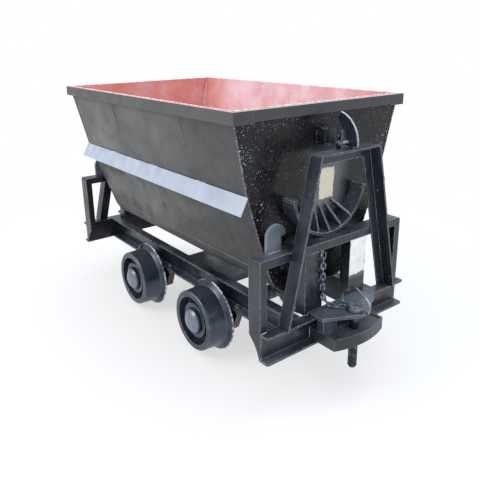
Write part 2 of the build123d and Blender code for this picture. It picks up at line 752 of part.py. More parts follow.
def hopper_section(top, inset=0):
    """Cross-section of the hopper in (y, z), filled, moved inwards from the outer skin."""
    half_top = HOPPER_BEND_HALF + upper_slope * (top - PIVOT_Z)
    with BuildSketch() as section:
        with BuildLine():
            Polyline(
                (-half_top, top),
                (-HOPPER_BEND_HALF, PIVOT_Z),
                (-FLOOR_HALF, FLOOR_Z),
                (FLOOR_HALF, FLOOR_Z),
                (HOPPER_BEND_HALF, PIVOT_Z),
                (half_top, top),
                close=True,
            )
        make_face()
        levels = section.vertices().group_by(Axis.Y)
        fillet(levels[0], FLOOR_R)
        bends = section.vertices().filter_by_position(Axis.Y, PIVOT_Z - 1, PIVOT_Z + 1)
        fillet(bends, HOPPER_BEND_R)
        if inset:
            offset(amount=-inset, kind=Kind.INTERSECTION)
    return section.sketch


def between_ends(inset):
    """Corners in (x, z) of the space between the end plates, inset from their outer faces."""
    low = FLOOR_Z - FLOOR_R
    high = HOPPER_TOP + FLOOR_R
    return (
        (-end_face(low) + inset, low),
        (end_face(low) - inset, low),
        (end_face(high) - inset, high),
        (-end_face(high) + inset, high),
    )


skin_top = HOPPER_TOP + 2 * WALL
SKINS = (               # name, then left, right, bottom and top of its window in (y, z)
    ("hopper_side_left", 0, rim_half_width, seam_z, HOPPER_TOP),
    ("hopper_side_right", -rim_half_width, 0, seam_z, HOPPER_TOP),
    ("hopper_floor", -rim_half_width, rim_half_width, FLOOR_Z - WALL, seam_z),
)

for name, left, right, bottom, top in SKINS:
    with BuildPart() as skin:
        with BuildSketch(cross_plane(0)):
            add(hopper_section(skin_top))
            add(hopper_section(skin_top, WALL), mode=Mode.SUBTRACT)
            with Locations(((left + right) / 2, (bottom + top) / 2)):
                Rectangle(right - left, top - bottom, mode=Mode.INTERSECT)
        extrude(amount=rim_half_length, both=True)
        with BuildSketch(Plane.XZ):
            with BuildLine():
                Polyline(*between_ends(WALL), close=True)
            make_face()
        extrude(amount=rim_half_width, both=True, mode=Mode.INTERSECT)
    save(skin.part, name)

with BuildPart() as end_plate:
    with BuildSketch(cross_plane(0)):
        add(hopper_section(HOPPER_TOP))
    extrude(amount=rim_half_length)
    with BuildSketch(Plane.XZ):
        with BuildLine():
            Polyline(*between_ends(0), close=True)
        make_face()
    extrude(amount=rim_half_width, both=True, mode=Mode.INTERSECT)
    with BuildSketch(Plane.XZ):
        with BuildLine():
            Polyline(*between_ends(WALL), close=True)
        make_face()
    extrude(amount=rim_half_width, both=True, mode=Mode.SUBTRACT)
for end, turn in ENDS:
    save(end_plate.part.rotate(Axis.Z, turn), f"hopper_end_{end}")

# Rim: an angle round the top of the hopper

with BuildPart() as rim:
    for height, reach in ((RIM_HEIGHT, rim_half_length), (RIM_END_HEIGHT, 0)):
        with BuildSketch(Plane.XY.offset(HOPPER_TOP - height)):
            Rectangle(2 * rim_half_length, 2 * rim_half_width)
            Rectangle(
                2 * (rim_half_length - RIM_PLATE),
                2 * (rim_half_width - RIM_PLATE),
                mode=Mode.SUBTRACT,
            )
            if reach:
                Rectangle(2 * reach, 2 * (rim_half_width - RIM_WRAP), mode=Mode.SUBTRACT)
        extrude(amount=height)
    with BuildSketch(Plane.XY.offset(HOPPER_TOP - RIM_PLATE)):
        Rectangle(2 * rim_half_length, 2 * rim_half_width)
        Rectangle(
            2 * (end_face(HOPPER_TOP) + WELD_GAP),
            2 * (HOPPER_TOP_HALF + WELD_GAP),
            mode=Mode.SUBTRACT,
        )
    extrude(amount=RIM_PLATE)
save(rim.part, "hopper_rim")

# Side strips: flat bars welded by their upper edge along the bend, leaning outwards

lean = radians(STRIP_LEAN)
strip_top = (
    HOPPER_BEND_HALF + upper_slope * STRIP_RISE + WELD_GAP,
    PIVOT_Z + STRIP_RISE,
)

for side_name, side in SIDES:
    with BuildPart() as strip:
        with BuildSketch(cross_plane(0, side)):
            with BuildLine():
                Polyline(
                    strip_top,
                    (strip_top[0] + STRIP_WIDTH * sin(lean), strip_top[1] - STRIP_WIDTH * cos(lean)),
                    (
                        strip_top[0] + STRIP_WIDTH * sin(lean) + STRIP_THICK * cos(lean),
                        strip_top[1] - STRIP_WIDTH * cos(lean) + STRIP_THICK * sin(lean),
                    ),
                    (strip_top[0] + STRIP_THICK * cos(lean), strip_top[1] + STRIP_THICK * sin(lean)),
                    close=True,
                )
            make_face()
        extrude(amount=STRIP_HALF, both=True)
    save(strip.part, f"side_strip_{side_name}")

# Rockers: a wide curved tread on each end plate, with radial ribs and a bar at each tip

rib_start = rocker_r - ROCKER_THICK + RIB_ROOT

with BuildPart() as rocker:
    with BuildSketch(cross_plane(portal_back - PORTAL_DEPTH)) as tread:
        with Locations((0, PIVOT_Z)):
            Circle(rocker_r)
            Circle(rocker_r - ROCKER_THICK, mode=Mode.SUBTRACT)
        with BuildSketch(mode=Mode.INTERSECT):
            with BuildLine():
                Polyline(
                    (0, PIVOT_Z),
                    (
                        -2 * rocker_r * sin(radians(ROCKER_SWEEP)),
                        PIVOT_Z - 2 * rocker_r * cos(radians(ROCKER_SWEEP)),
                    ),
                    (-2 * rocker_r, PIVOT_Z - 2 * rocker_r),
                    (2 * rocker_r, PIVOT_Z - 2 * rocker_r),
                    (
                        2 * rocker_r * sin(radians(ROCKER_SWEEP)),
                        PIVOT_Z - 2 * rocker_r * cos(radians(ROCKER_SWEEP)),
                    ),
                    close=True,
                )
            make_face()
    extrude(amount=ROCKER_FACE - portal_back + PORTAL_DEPTH)
    with BuildSketch(cross_plane(portal_back - PORTAL_DEPTH)):
        with Locations((0, PIVOT_Z)):
            with PolarLocations(
                rocker_r - ROCKER_BAR / 2 - RIB_ROOT / 2,
                2,
                start_angle=-90 - ROCKER_SWEEP,
                angular_range=2 * ROCKER_SWEEP,
                endpoint=True,
            ):
                Rectangle(ROCKER_BAR, ROCKER_BAR)
    extrude(amount=ROCKER_FACE - portal_back + PORTAL_DEPTH)
    for angle in RIB_ANGLES:
        across = radians(angle)
        rib_plane = Plane(
            origin=(0, 0, PIVOT_Z),
            x_dir=(1, 0, 0),
            z_dir=(0, cos(across), sin(across)),
        )
        with BuildSketch(rib_plane):
            with BuildLine():
                Polyline(
                    (END_HALF - RIB_LAND, RIB_FOOT_R),
                    (END_HALF, RIB_FOOT_R),
                    (ROCKER_FACE - RIB_SETBACK, rib_start - RIB_LAND),
                    (ROCKER_FACE - RIB_SETBACK, rib_start),
                    (END_HALF - RIB_LAND, rib_start),
                    close=True,
                )
            make_face()
        extrude(amount=RIB_THICK / 2, both=True)
    with BuildSketch(Plane.XZ):
        with BuildLine():
            Polyline(*between_ends(0), close=True)
        make_face()
    extrude(amount=rim_half_width, both=True, mode=Mode.SUBTRACT)
for end, turn in ENDS:
    save(rocker.part.rotate(Axis.Z, turn), f"rocker_{end}")

# Catches: a short channel high on each end plate, which the latch holds

lug_bottom = HOPPER_TOP - LUG_DROP

with BuildPart() as catch:
    with BuildSketch(Plane.XZ.offset(-LUG_Y)):
        with Locations((LUG_FACE, lug_bottom)):
            Rectangle(2 * (LUG_FACE - END_HALF), LUG_HEIGHT, align=(Align.CENTER, Align.MIN))
        with Locations((LUG_FACE - LUG_PLATE, lug_bottom + LUG_PLATE)):
            Rectangle(
                2 * (LUG_FACE - END_HALF),
                LUG_HEIGHT - 2 * LUG_PLATE,
                align=(Align.MAX, Align.MIN),
                mode=Mode.SUBTRACT,
            )
        with Locations((LUG_FACE, lug_bottom)):
            Rectangle(
                2 * (LUG_FACE - END_HALF),
                LUG_HEIGHT,
                align=(Align.MIN, Align.MIN),
                mode=Mode.SUBTRACT,
            )
    extrude(amount=LUG_WIDTH / 2, both=True)
    with BuildSketch(Plane.XZ):
        with BuildLine():
            Polyline(*between_ends(0), close=True)
        make_face()
    extrude(amount=rim_half_width, both=True, mode=Mode.SUBTRACT)
for end, turn in ENDS:
    save(catch.part.rotate(Axis.Z, turn), f"latch_catch_{end}")
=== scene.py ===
"""Studio scene of a narrow-gauge side-tipping mine car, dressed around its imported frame.

Lengths are metres unless a name ends in _mm. +X runs along the track to the front end,
+Y to the left side and +Z up, from the middle of the car at the flanges' bottoms.
"""

from __future__ import annotations

import logging
import math
from dataclasses import dataclass, field
from enum import Enum

import bpy
import numpy as np
from mathutils import Matrix, Vector

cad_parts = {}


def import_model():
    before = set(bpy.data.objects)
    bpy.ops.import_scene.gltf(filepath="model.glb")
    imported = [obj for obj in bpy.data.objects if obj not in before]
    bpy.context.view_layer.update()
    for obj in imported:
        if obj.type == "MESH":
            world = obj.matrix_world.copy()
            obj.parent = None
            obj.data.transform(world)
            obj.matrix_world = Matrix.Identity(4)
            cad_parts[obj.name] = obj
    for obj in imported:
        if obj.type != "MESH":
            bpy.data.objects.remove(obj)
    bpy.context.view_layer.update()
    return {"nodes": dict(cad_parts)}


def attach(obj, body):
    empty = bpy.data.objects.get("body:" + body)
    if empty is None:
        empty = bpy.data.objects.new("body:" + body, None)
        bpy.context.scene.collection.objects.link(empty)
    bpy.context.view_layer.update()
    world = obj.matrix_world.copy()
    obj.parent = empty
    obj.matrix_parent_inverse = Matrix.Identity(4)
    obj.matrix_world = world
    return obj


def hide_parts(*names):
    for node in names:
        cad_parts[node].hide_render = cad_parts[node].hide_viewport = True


LOG = logging.getLogger("mine_car")
PHOTO_PX = 480
MM = 0.001
PIVOT_Z = 0.872  # height of the hopper's pivot, where its sides bend

Socket = bpy.types.NodeSocket
Tree = bpy.types.NodeTree
Material = bpy.types.Material
Piece = bpy.types.Object
Pair = tuple[float, float]
Point = tuple[float, float, float]
Quads = tuple[np.ndarray, np.ndarray]  # vertices, N by 3, and their indices, M by 4


class End(Enum):
    """The two ends of the car and the sign of x there."""

    FRONT = 1
    REAR = -1


class Side(Enum):
    """The two sides of the car and the sign of y there."""

    LEFT = 1
    RIGHT = -1


class Body(Enum):
    """The rigid bodies that the added pieces ride on."""

    FRAME = "frame"
    HOPPER = "hopper"


def linear(code: str) -> tuple[float, float, float, float]:
    """Turn an sRGB hex colour into linear light.

    Args:
        code: colour as "#rrggbb".

    Returns:
        Linear red, green and blue with an alpha of one.
    """
    channels = [int(code[i : i + 2], 16) / 255 for i in (1, 3, 5)]
    return (*[c / 12.92 if c <= 0.04045 else ((c + 0.055) / 1.055) ** 2.4 for c in channels], 1.0)


def add(
    tree: Tree, kind: str, inputs: dict | tuple = (), output: int | str = 0, **settings: object
) -> Signal:
    """Add one node, set its properties and fill or link its inputs.

    Args:
        tree: node tree that the node joins.
        kind: node type without the leading "ShaderNode".
        inputs: values by socket name or index, or in the sockets' order. A signal is linked,
            and a string is an sRGB hex colour.
        output: name or index of the output that is handed back.
        settings: node properties by name.

    Returns:
        That output, which is empty for a node that ends a tree.
    """
    node = tree.nodes.new(f"ShaderNode{kind}")
    for name, value in settings.items():
        setattr(node, name, value)
    for key, value in inputs.items() if isinstance(inputs, dict) else enumerate(inputs):
        if isinstance(value, Signal):
            tree.links.new(value.socket, node.inputs[key])
        else:
            node.inputs[key].default_value = linear(value) if isinstance(value, str) else value
    return Signal(tree, node.outputs[output] if len(node.outputs) else None)


def cleared(owner: Material | bpy.types.World) -> Tree:
    """Empty the node tree of a new material or world.

    Args:
        owner: the material or world.

    Returns:
        Its tree.
    """
    owner.use_nodes = True
    owner.node_tree.nodes.clear()
    return owner.node_tree


class Signal:
    """What one socket gives, as a value that takes plain arithmetic.

    Each step of a formula is one node, so the formulas read as they are written on paper.
    """

    def __init__(self, tree: Tree, socket: Socket | None) -> None:
        """Keep the socket and the tree that it is in."""
        self.tree = tree
        self.socket = socket

    def beside(self, output: int | str) -> Signal:
        """Another output of the same node."""
        return Signal(self.tree, self.socket.node.outputs[output])

    def step(self, operation: str, *others: float | Signal) -> Signal:
        """One step of arithmetic, with the other numbers that it takes."""
        return add(self.tree, "Math", (self, *others), operation=operation)

    def __add__(self, other: float | Signal) -> Signal:
        """Sum."""
        return self.step("ADD", other)

    def __sub__(self, other: float | Signal) -> Signal:
        """Difference."""
        return self.step("SUBTRACT", other)

    def __mul__(self, other: float | Signal) -> Signal:
        """Product."""
        return self.step("MULTIPLY", other)

    def __abs__(self) -> Signal:
        """Size without the sign."""
        return self.step("ABSOLUTE")

    def __gt__(self, other: float | Signal) -> Signal:
        """One where this is greater than the other, and zero elsewhere."""
        return self.step("GREATER_THAN", other)

    def __lt__(self, other: float | Signal) -> Signal:
        """One where this is less than the other, and zero elsewhere."""
        return self.step("LESS_THAN", other)

    def most(self, other: float | Signal) -> Signal:
        """The greater of the two."""
        return self.step("MAXIMUM", other)

    def smooth(self, low: float, high: float, out: Pair = (0.0, 1.0)) -> Signal:
        """Go smoothly from the first output level at low to the second at high.

        Args:
            low: input at the first output level, which may be above high.
            high: input at the second output level.
            out: the two output levels.

        Returns:
            The mapped value.
        """
        return add(self.tree, "MapRange", (self, low, high, *out), interpolation_type="SMOOTHSTEP")

    def blend(self, under: str | Signal, over: str | Signal) -> Signal:
        """Colour that goes from under to over as this share goes from zero to one.

        Args:
            under: sRGB hex colour, or a colour that varies.
            over: the same.

        Returns:
            The blended colour.
        """
        return add(self.tree, "Mix", {0: self, 6: under, 7: over}, 2, data_type="RGBA")


@dataclass(frozen=True)
class Fractal:
    """Fractal noise whose largest features are size_mm across.

    It has finer octaves, each of which weighs fine times the one before, and its features
    are longer along x, y and z by the stretch.
    """

    size_mm: float
    octaves: float
    fine: float
    stretch: Point = (1, 1, 1)

    def at(self, place: Signal) -> Signal:
        """Noise between zero and one at a place in metres.

        Args:
            place: coordinates of the shaded point.

        Returns:
            The noise there.
        """
        scale = tuple(1 / along for along in self.stretch)
        inputs = {
            "Vector": add(place.tree, "Mapping", {"Vector": place, "Scale": scale}),
            "Scale": 1 / (self.size_mm * MM),
            "Detail": self.octaves,
            "Roughness": self.fine,
        }
        return add(place.tree, "TexNoise", inputs)


@dataclass(frozen=True)
class Specks:
    """Round specks strewn at random, some cells of a Voronoi pattern holding one each.

    The cells' points lie cell_mm apart, a share of them hold a speck, and the largest has
    the radius largest, in cells.
    """

    cell_mm: float
    share: float
    largest: float

    def at(self, place: Signal) -> Signal:
        """Mask that is one on a speck.

        Args:
            place: coordinates of the shaded point.

        Returns:
            The mask there.
        """
        inputs = {"Vector": place, "Scale": 1 / (self.cell_mm * MM)}
        cell = add(place.tree, "TexVoronoi", inputs, "Color", feature="F1")
        lot = add(place.tree, "SeparateXYZ", (cell,))
        return (cell.beside("Distance") < lot.beside(1) * self.largest) * (lot < self.share)


class Surface:
    """Node tree of one material, and where the shaded point lies and faces."""

    def __init__(self, material: Material) -> None:
        """Start the tree with object coordinates and the face's normal.

        Args:
            material: a new material.
        """
        self.tree = cleared(material)
        self.place = add(self.tree, "TexCoord", output="Object")
        self.x = add(self.tree, "SeparateXYZ", (self.place,))
        self.y, self.z = self.x.beside(1), self.x.beside(2)
        self.normal = add(self.tree, "NewGeometry", output="Normal")
        self.ahead = add(self.tree, "SeparateXYZ", (self.normal,))
        self.aside, self.up = self.ahead.beside(1), self.ahead.beside(2)

    def edges(self, radius_mm: float, full: float) -> tuple[Signal, Signal]:
        """Mask of sharp edges: one minus the cosine between the face and a rounded normal.

        Args:
            radius_mm: how far the rounding reaches from an edge.
            full: value of that difference at which the mask is one.

        Returns:
            The mask and the rounded normal.
        """
        rounded = add(self.tree, "Bevel", {"Radius": radius_mm * MM}, samples=6)
        inputs = (rounded, self.normal)
        cosine = add(self.tree, "VectorMath", inputs, "Value", operation="DOT_PRODUCT")
        return (cosine * -1.0 + 1.0).smooth(0.02, full), rounded

    def shade(self, relief: dict, look: dict) -> None:
        """End the tree with a bump under a principled shader.

        Args:
            relief: inputs of the bump.
            look: inputs of the shader.
        """
        bump = add(self.tree, "Bump", relief)
        shader = add(self.tree, "BsdfPrincipled", {**look, "Normal": bump})
        add(self.tree, "OutputMaterial", (shader,))


@dataclass(frozen=True)
class Finish:
    """A finish of the car, under the name of its material."""

    name: str

    def cover(self, s: Surface) -> None:
        """Build the material's nodes, which each finish does in its own way."""
        raise NotImplementedError

    def build(self) -> Material:
        """Make the node material.

        Returns:
            The finished material.
        """
        material = bpy.data.materials.new(self.name)
        self.cover(Surface(material))
        return material


@dataclass(frozen=True)
class Patch:
    """A rectangle of pale paint with ragged edges, in a plane across the car."""

    y: float
    z: float
    half_y: float
    half_z: float
    colour: str
    ragged_mm: float = 5.0
    haze_mm: float = 60.0
    haze_share: float = 0.35
    grime: str = "#cfcab8"
    haze: str = "#9b9c9b"
    dry: float = 0.25
    edge: float = 0.0015
    facing: float = 0.8
    wander: Fractal = Fractal(26, 5, 0.65)
    dirt: Fractal = Fractal(34, 5, 0.6)

    def daub(
        self, s: Surface, colour: Signal, rough: Signal, front_x: float
    ) -> tuple[Signal, Signal]:
        """Lay the patch over a colour.

        The patch is where d = max(|y - y0| - a, |z - z0| - b) plus noise is under zero,
        on faces that look to the front; a grey haze of overspray goes further out.

        Args:
            s: the surface.
            colour: colour underneath.
            rough: roughness underneath.
            front_x: the patch lies only where x is above this.

        Returns:
            Colour and roughness.
        """
        away_y = abs(s.y - self.y) - self.half_y
        away_z = abs(s.z - self.z) - self.half_z
        wander = (self.wander.at(s.place) - 0.5) * (self.ragged_mm * MM * 4)
        ragged = away_y.most(away_z) + wander
        front = (s.x > front_x) * (s.ahead > self.facing)
        hard = ragged.smooth(self.edge, -self.edge) * front
        haze = ragged.smooth(self.haze_mm * MM, 0.0) * front * self.haze_share
        grime = self.dirt.at(s.place).smooth(0.35, 0.8, (0.0, 0.6))
        pale = grime.blend(self.colour, self.grime)
        return hard.blend(haze.blend(colour, self.haze), pale), rough + hard * self.dry


@dataclass(frozen=True)
class Enamel(Finish):
    """Alkyd enamel brushed on hot-rolled steel.

    A glossy film that follows the plate's waves, greyed where dust lies, and rubbed to
    bright metal along the sharp edges, whose pale blue-white is also a painted highlight.
    """

    coat: str = "#121419"
    faded: str = "#252932"
    dust: str = "#757983"
    dust_share: float = 0.04
    spatter: str = "#a9adb2"
    spatter_share: float = 0.06
    spatter_cover: float = 0.8
    lying_dust: float = 0.30
    # pale of the sharp edges: rubbed paint, and a painted highlight along the edges
    worn_and_highlit: str = "#c6d0dd"
    wear: float = 1.0
    gloss: float = 0.16
    matt: float = 0.40
    specular: float = 0.5
    wave_mm: float = 0.9
    edge_mm: float = 2.2
    patch: Patch | None = None
    front_x: float = 0.8
    clouds: Fractal = Fractal(260, 4, 0.55)
    streaks: Fractal = Fractal(70, 4, 0.55, (1, 1, 4))
    chips: Fractal = Fractal(22, 4, 0.6)
    smears: Fractal = Fractal(90, 5, 0.6)
    # brush marks, drawn coarse because real ones are too fine to show
    brushed: Fractal = Fractal(9, 3, 0.5, (1, 1, 6))
    brush_share: float = 0.06
    cloud_cover: float = 1.6
    waves: Fractal = Fractal(170, 2, 0.4)

    def coating(self, s: Surface) -> Signal:
        """Colour of the paint film before its edges wear.

        Args:
            s: the surface.

        Returns:
            The colour.
        """
        colour = self.streaks.at(s.place).smooth(0.3, 0.75).blend(self.coat, self.faded)
        settled = s.up.most(0.0) * self.lying_dust + self.dust_share
        dusty = self.clouds.at(s.place).smooth(0.3, 0.7) * settled * self.cloud_cover
        specks = Specks(11, self.spatter_share, 0.28).at(s.place) * self.spatter_cover
        return specks.blend(dusty.blend(colour, self.dust), self.spatter)

    def top(self, s: Surface, colour: Signal, rough: Signal) -> tuple[Signal, Signal]:
        """Last layer over the worn edges, which is the patch of paint if there is one.

        Args:
            s: the surface.
            colour: colour so far.
            rough: roughness so far.

        Returns:
            Colour and roughness.
        """
        return self.patch.daub(s, colour, rough, self.front_x) if self.patch else (colour, rough)

    def cover(self, s: Surface) -> None:
        """Build the film, its edges' wear and painted highlight, its gloss and the plate's waves.

        Args:
            s: the surface.
        """
        edges, rounded = s.edges(self.edge_mm, 0.12)
        # pale sharp edges: wear, and a painted highlight along the edges
        worn_and_highlit = edges * self.chips.at(s.place).smooth(0.30, 0.50) * self.wear
        colour = worn_and_highlit.blend(self.coating(s), self.worn_and_highlit)
        rough = self.smears.at(s.place).smooth(0.3, 0.7, (self.gloss, self.matt))
        colour, rough = self.top(s, colour, rough)
        height = self.waves.at(s.place) + self.brushed.at(s.place) * self.brush_share
        s.shade(
            {
                "Height": height, "Distance": self.wave_mm * MM * 5,
                "Strength": 0.6, "Normal": rounded,
            },
            {
                "Base Color": colour, "Roughness": rough, "IOR": 1.5,
                "Metallic": 0.0, "Specular IOR Level": self.specular,
            },
        )


@dataclass(frozen=True)
class HopperEnamel(Enamel):
    """Enamel on the hopper's sheets, dull outside with dry road dust, and red primer inside.

    The dust lies in soft clouds, and the sheets darken towards the front end as painted
    shade. The primer is pale high on the side walls away from the ends, chalky in patches,
    and deep red lower down and at the ends.
    """

    coat: str = "#4d4e4c"
    faded: str = "#646361"
    # the clear colour is a painted shade, laid on darker towards the front end
    clear: str = "#2b2b2e"
    # the soot colour also serves as painted shade below the bend
    soot_and_shade: str = "#232426"
    sand: str = "#505152"
    primer: str = "#c5705f"
    chalk: str = "#dfc2c8"
    rust: str = "#9c4a42"
    half_length: float = 0.734
    speckled: float = 0.0
    seam_half: float = 0.386
    seam_slope: float = 0.232
    seam_slope_low: float = 0.351
    front_x: float = 0.7
    front_shade_from: Pair = (-0.6, 0.85)
    front_shade_share: float = 0.75
    shade_from: Pair = (-0.1, 0.7)
    shade_share: float = 0.45
    soot_share: float = 0.75
    sand_share: float = 0.30
    loose_share: float = 0.6
    pale_heights: Pair = (0.80, 1.16)
    chalk_matt: float = 0.12
    clouds: Fractal = Fractal(330, 3, 0.45)
    smudges: Fractal = Fractal(150, 4, 0.5)
    sanding: Fractal = Fractal(14, 5, 0.75)
    drifts: Fractal = Fractal(60, 4, 0.6)
    rubbing: Fractal = Fractal(120, 5, 0.6)
    chalking: Fractal = Fractal(200, 5, 0.6)
    stains: Fractal = Fractal(50, 5, 0.7, (1, 1, 3))
    seam_specks: tuple[Specks, ...] = (
        Specks(9, 0.5, 0.30), Specks(17, 0.35, 0.2), Specks(6, 0.6, 0.28),
    )
    loose_specks: Specks = Specks(8, 0.16, 0.24)

    def coating(self, s: Surface) -> Signal:
        """Soft clouds of dust, soot smudges below the bend and weld specks at the seams, with
        painted shade that darkens the front end and the lower sides.

        Args:
            s: the surface.

        Returns:
            The colour.
        """
        colour = self.clouds.at(s.place).smooth(0.3, 0.7).blend(self.coat, self.faded)
        # painted shade: the sheets darken towards the front end
        colour = (s.x.smooth(*self.front_shade_from) * self.front_shade_share).blend(colour, self.clear)
        below = s.z.smooth(PIVOT_Z + 0.01, PIVOT_Z - 0.03)
        sooty = below * self.smudges.at(s.place).smooth(0.50, 0.68) * self.soot_share
        # painted shade: the lower sides darken towards the front, in the soot colour
        shaded = below * s.x.smooth(*self.shade_from) * self.shade_share
        colour = sooty.most(shaded).blend(colour, self.soot_and_shade)
        return self.strewn(s, colour) if self.speckled else colour

    def strewn(self, s: Surface, colour: Signal) -> Signal:
        """Fine sand, and weld specks that lie thickest beside the end plate's seams.

        At a height h above the bend the seam is at |y| = a + b max(h, 0) + c min(h, 0).

        Args:
            s: the surface.
            colour: colour underneath.

        Returns:
            The colour.
        """
        sandy = self.sanding.at(s.place).smooth(0.46, 0.72) * self.sand_share
        above = s.z - PIVOT_Z
        rising = above.most(0.0) * self.seam_slope
        falling = above.step("MINIMUM", 0.0) * self.seam_slope_low
        near = (rising + falling + self.seam_half - abs(s.y)).smooth(0.16, 0.0, (0.16, 1.0))
        first, *others = (specks.at(s.place) for specks in self.seam_specks)
        for specks in others:
            first = first.most(specks)
        wide = self.drifts.at(s.place).smooth(0.35, 0.65)
        shown = first * near * wide * self.speckled
        loose = self.loose_specks.at(s.place) * self.loose_share
        return shown.most(loose).blend(sandy.blend(colour, self.sand), self.spatter)

    def top(self, s: Surface, colour: Signal, rough: Signal) -> tuple[Signal, Signal]:
        """Put the patch outside, and the primer on faces that look into the hopper.

        Args:
            s: the surface.
            colour: colour of the outside.
            rough: roughness of the outside.

        Returns:
            Colour and roughness of both sides.
        """
        colour, rough = super().top(s, colour, rough)
        from_middle = add(s.tree, "VectorMath", (s.place, (0, 0, 1.0)), operation="SUBTRACT")
        inputs = (from_middle, s.normal)
        inside = add(s.tree, "VectorMath", inputs, "Value", operation="DOT_PRODUCT") < 0.0
        # primer paler high on the side walls away from the ends, deeper red lower down and at the
        # ends
        on_side = abs(s.aside).smooth(0.5, 0.8)
        away = abs(s.x).smooth(self.half_length - 0.02, 0.40)
        high = s.z.smooth(*self.pale_heights, (0.25, 1.0))
        rubbed = self.rubbing.at(s.place).smooth(0.25, 0.65, (0.45, 1.0))
        chalky = self.chalking.at(s.place).smooth(0.35, 0.75, (0.10, 0.50))
        pale = (on_side * away * high * rubbed).most(chalky)
        stained = self.stains.at(s.place).smooth(0.58, 0.80, (0.0, 0.5))
        lining = stained.blend(pale.blend(self.primer, self.chalk), self.rust)
        return inside.blend(colour, lining), rough + inside * self.chalk_matt


@dataclass(frozen=True)
class RimEnamel(Enamel):
    """Enamel on the rim: dusty sides, darker end faces, and a top painted pale as sky reflection.
    """

    side_dust: str = "#4d4d4b"
    end_face_tone: str = "#363638"
    painted_sky_on_top: str = "#a39a98"
    end_share: float = 0.7
    side_cloud: Fractal = Fractal(140, 4, 0.5)

    def top(self, s: Surface, colour: Signal, rough: Signal) -> tuple[Signal, Signal]:
        """Tint the faces by the way they look.

        Args:
            s: the surface.
            colour: colour so far.
            rough: roughness so far.

        Returns:
            Colour and roughness.
        """
        cloud = self.side_cloud.at(s.place).smooth(0.2, 0.6, (0.7, 0.95))
        colour = (abs(s.aside).smooth(0.5, 0.9) * cloud).blend(colour, self.side_dust)
        # darker on the faces that look along the car
        endways = abs(s.ahead).smooth(0.5, 0.9) * self.end_share
        colour = endways.blend(colour, self.end_face_tone)
        # pale upward faces: a painted reflection of the sky
        return s.up.smooth(0.6, 0.95, (0.0, 0.9)).blend(colour, self.painted_sky_on_top), rough


@dataclass(frozen=True)
class EdgedEnamel(Enamel):
    """Enamel on a flame-cut plate, whose narrow cut faces are rubbed to bright steel."""

    cut_face: str = "#aeb5be"
    rubbing: Fractal = Fractal(40, 4, 0.6)

    def top(self, s: Surface, colour: Signal, rough: Signal) -> tuple[Signal, Signal]:
        """Brighten the faces that don't look sideways."""
        rubbed = self.rubbing.at(s.place).smooth(0.25, 0.6, (0.35, 0.9))
        return (abs(s.aside).smooth(0.6, 0.3) * rubbed).blend(colour, self.cut_face), rough


@dataclass(frozen=True)
class CastCoat(Enamel):
    """Thin paint on a sand casting: dark, pitted by the sand and bright on the high spots."""

    coat: str = "#17191c"
    faded: str = "#2d3035"
    dust_share: float = 0.12
    # pale edges of the casting: wear, and a painted highlight
    worn_and_highlit: str = "#a3aab3"
    gloss: float = 0.28
    matt: float = 0.60
    wave_mm: float = 3.0


@dataclass(frozen=True)
class CastSteel(Finish):
    """Cast steel wheel with a machined tread.

    Blue-grey and a little greasy, with fine turning marks round the tread, a rough
    as-cast dish and a flange edge that the rail keeps bright. Its other sharp edges get
    a painted highlight, and its cap a paler colour as a painted sheen.
    """

    cast: str = "#292d35"
    machined: str = "#4d5562"
    bright: str = "#dfe5ee"
    # the cap's paler colour is a painted sheen
    cap: str = "#858d9b"
    cap_r: float = 0.0595
    axle_x: float = 0.305
    axle_z: float = 0.175
    tread_from: Pair = (0.139, 0.144)
    tread_to: Pair = (0.158, 0.153)
    flange_r: float = 0.175
    smears: Fractal = Fractal(70, 5, 0.6)
    wear: Fractal = Fractal(20, 5, 0.6)
    # turning marks and sand, drawn coarse because real ones are too fine to show
    turning: Fractal = Fractal(2.2, 3, 0.6)
    sand: Fractal = Fractal(4, 4, 0.6)
    tread_share: float = 0.6
    cap_share: float = 0.8
    cap_edge: float = 0.006
    flange_edge: Pair = (0.0045, 0.001)
    edge_mm: float = 2.6
    relief: float = 0.0007

    def cover(self, s: Surface) -> None:
        """Build rings of tread, cap and flange edge by their distance from the axle.

        Args:
            s: the surface.
        """
        along, rise = abs(s.x) - self.axle_x, s.z - self.axle_z
        radius = (along.step("POWER", 2.0) + rise.step("POWER", 2.0)).step("SQRT")
        marks = self.turning.at(add(s.tree, "CombineXYZ", (radius, s.y, 0.0)))
        smears = self.smears.at(s.place)
        tread = radius.smooth(*self.tread_from) * radius.smooth(*self.tread_to) * self.tread_share
        on_cap = radius.smooth(self.cap_r, self.cap_r - self.cap_edge) * self.cap_share
        rubbed = radius.smooth(*(self.flange_r - inwards for inwards in self.flange_edge))
        edges, rounded = s.edges(self.edge_mm, 0.12)
        # painted highlight on the sharp edges, and the flange edge rubbed bright by the rail
        worn_and_highlit = (edges * 0.8).most(rubbed) * self.wear.at(s.place).smooth(0.36, 0.60)
        colour = smears.smooth(0.3, 0.7).blend(self.cast, self.machined)
        colour = on_cap.blend(tread.blend(colour, self.machined), self.cap)
        s.shade(
            {
                "Height": marks * 0.25 + self.sand.at(s.place) * 0.5,
                "Distance": self.relief, "Strength": 0.35, "Normal": rounded,
            },
            {
                "Base Color": worn_and_highlit.blend(colour, self.bright),
                "Roughness": smears.smooth(0.25, 0.75, (0.22, 0.42)), "Metallic": 0.55,
            },
        )


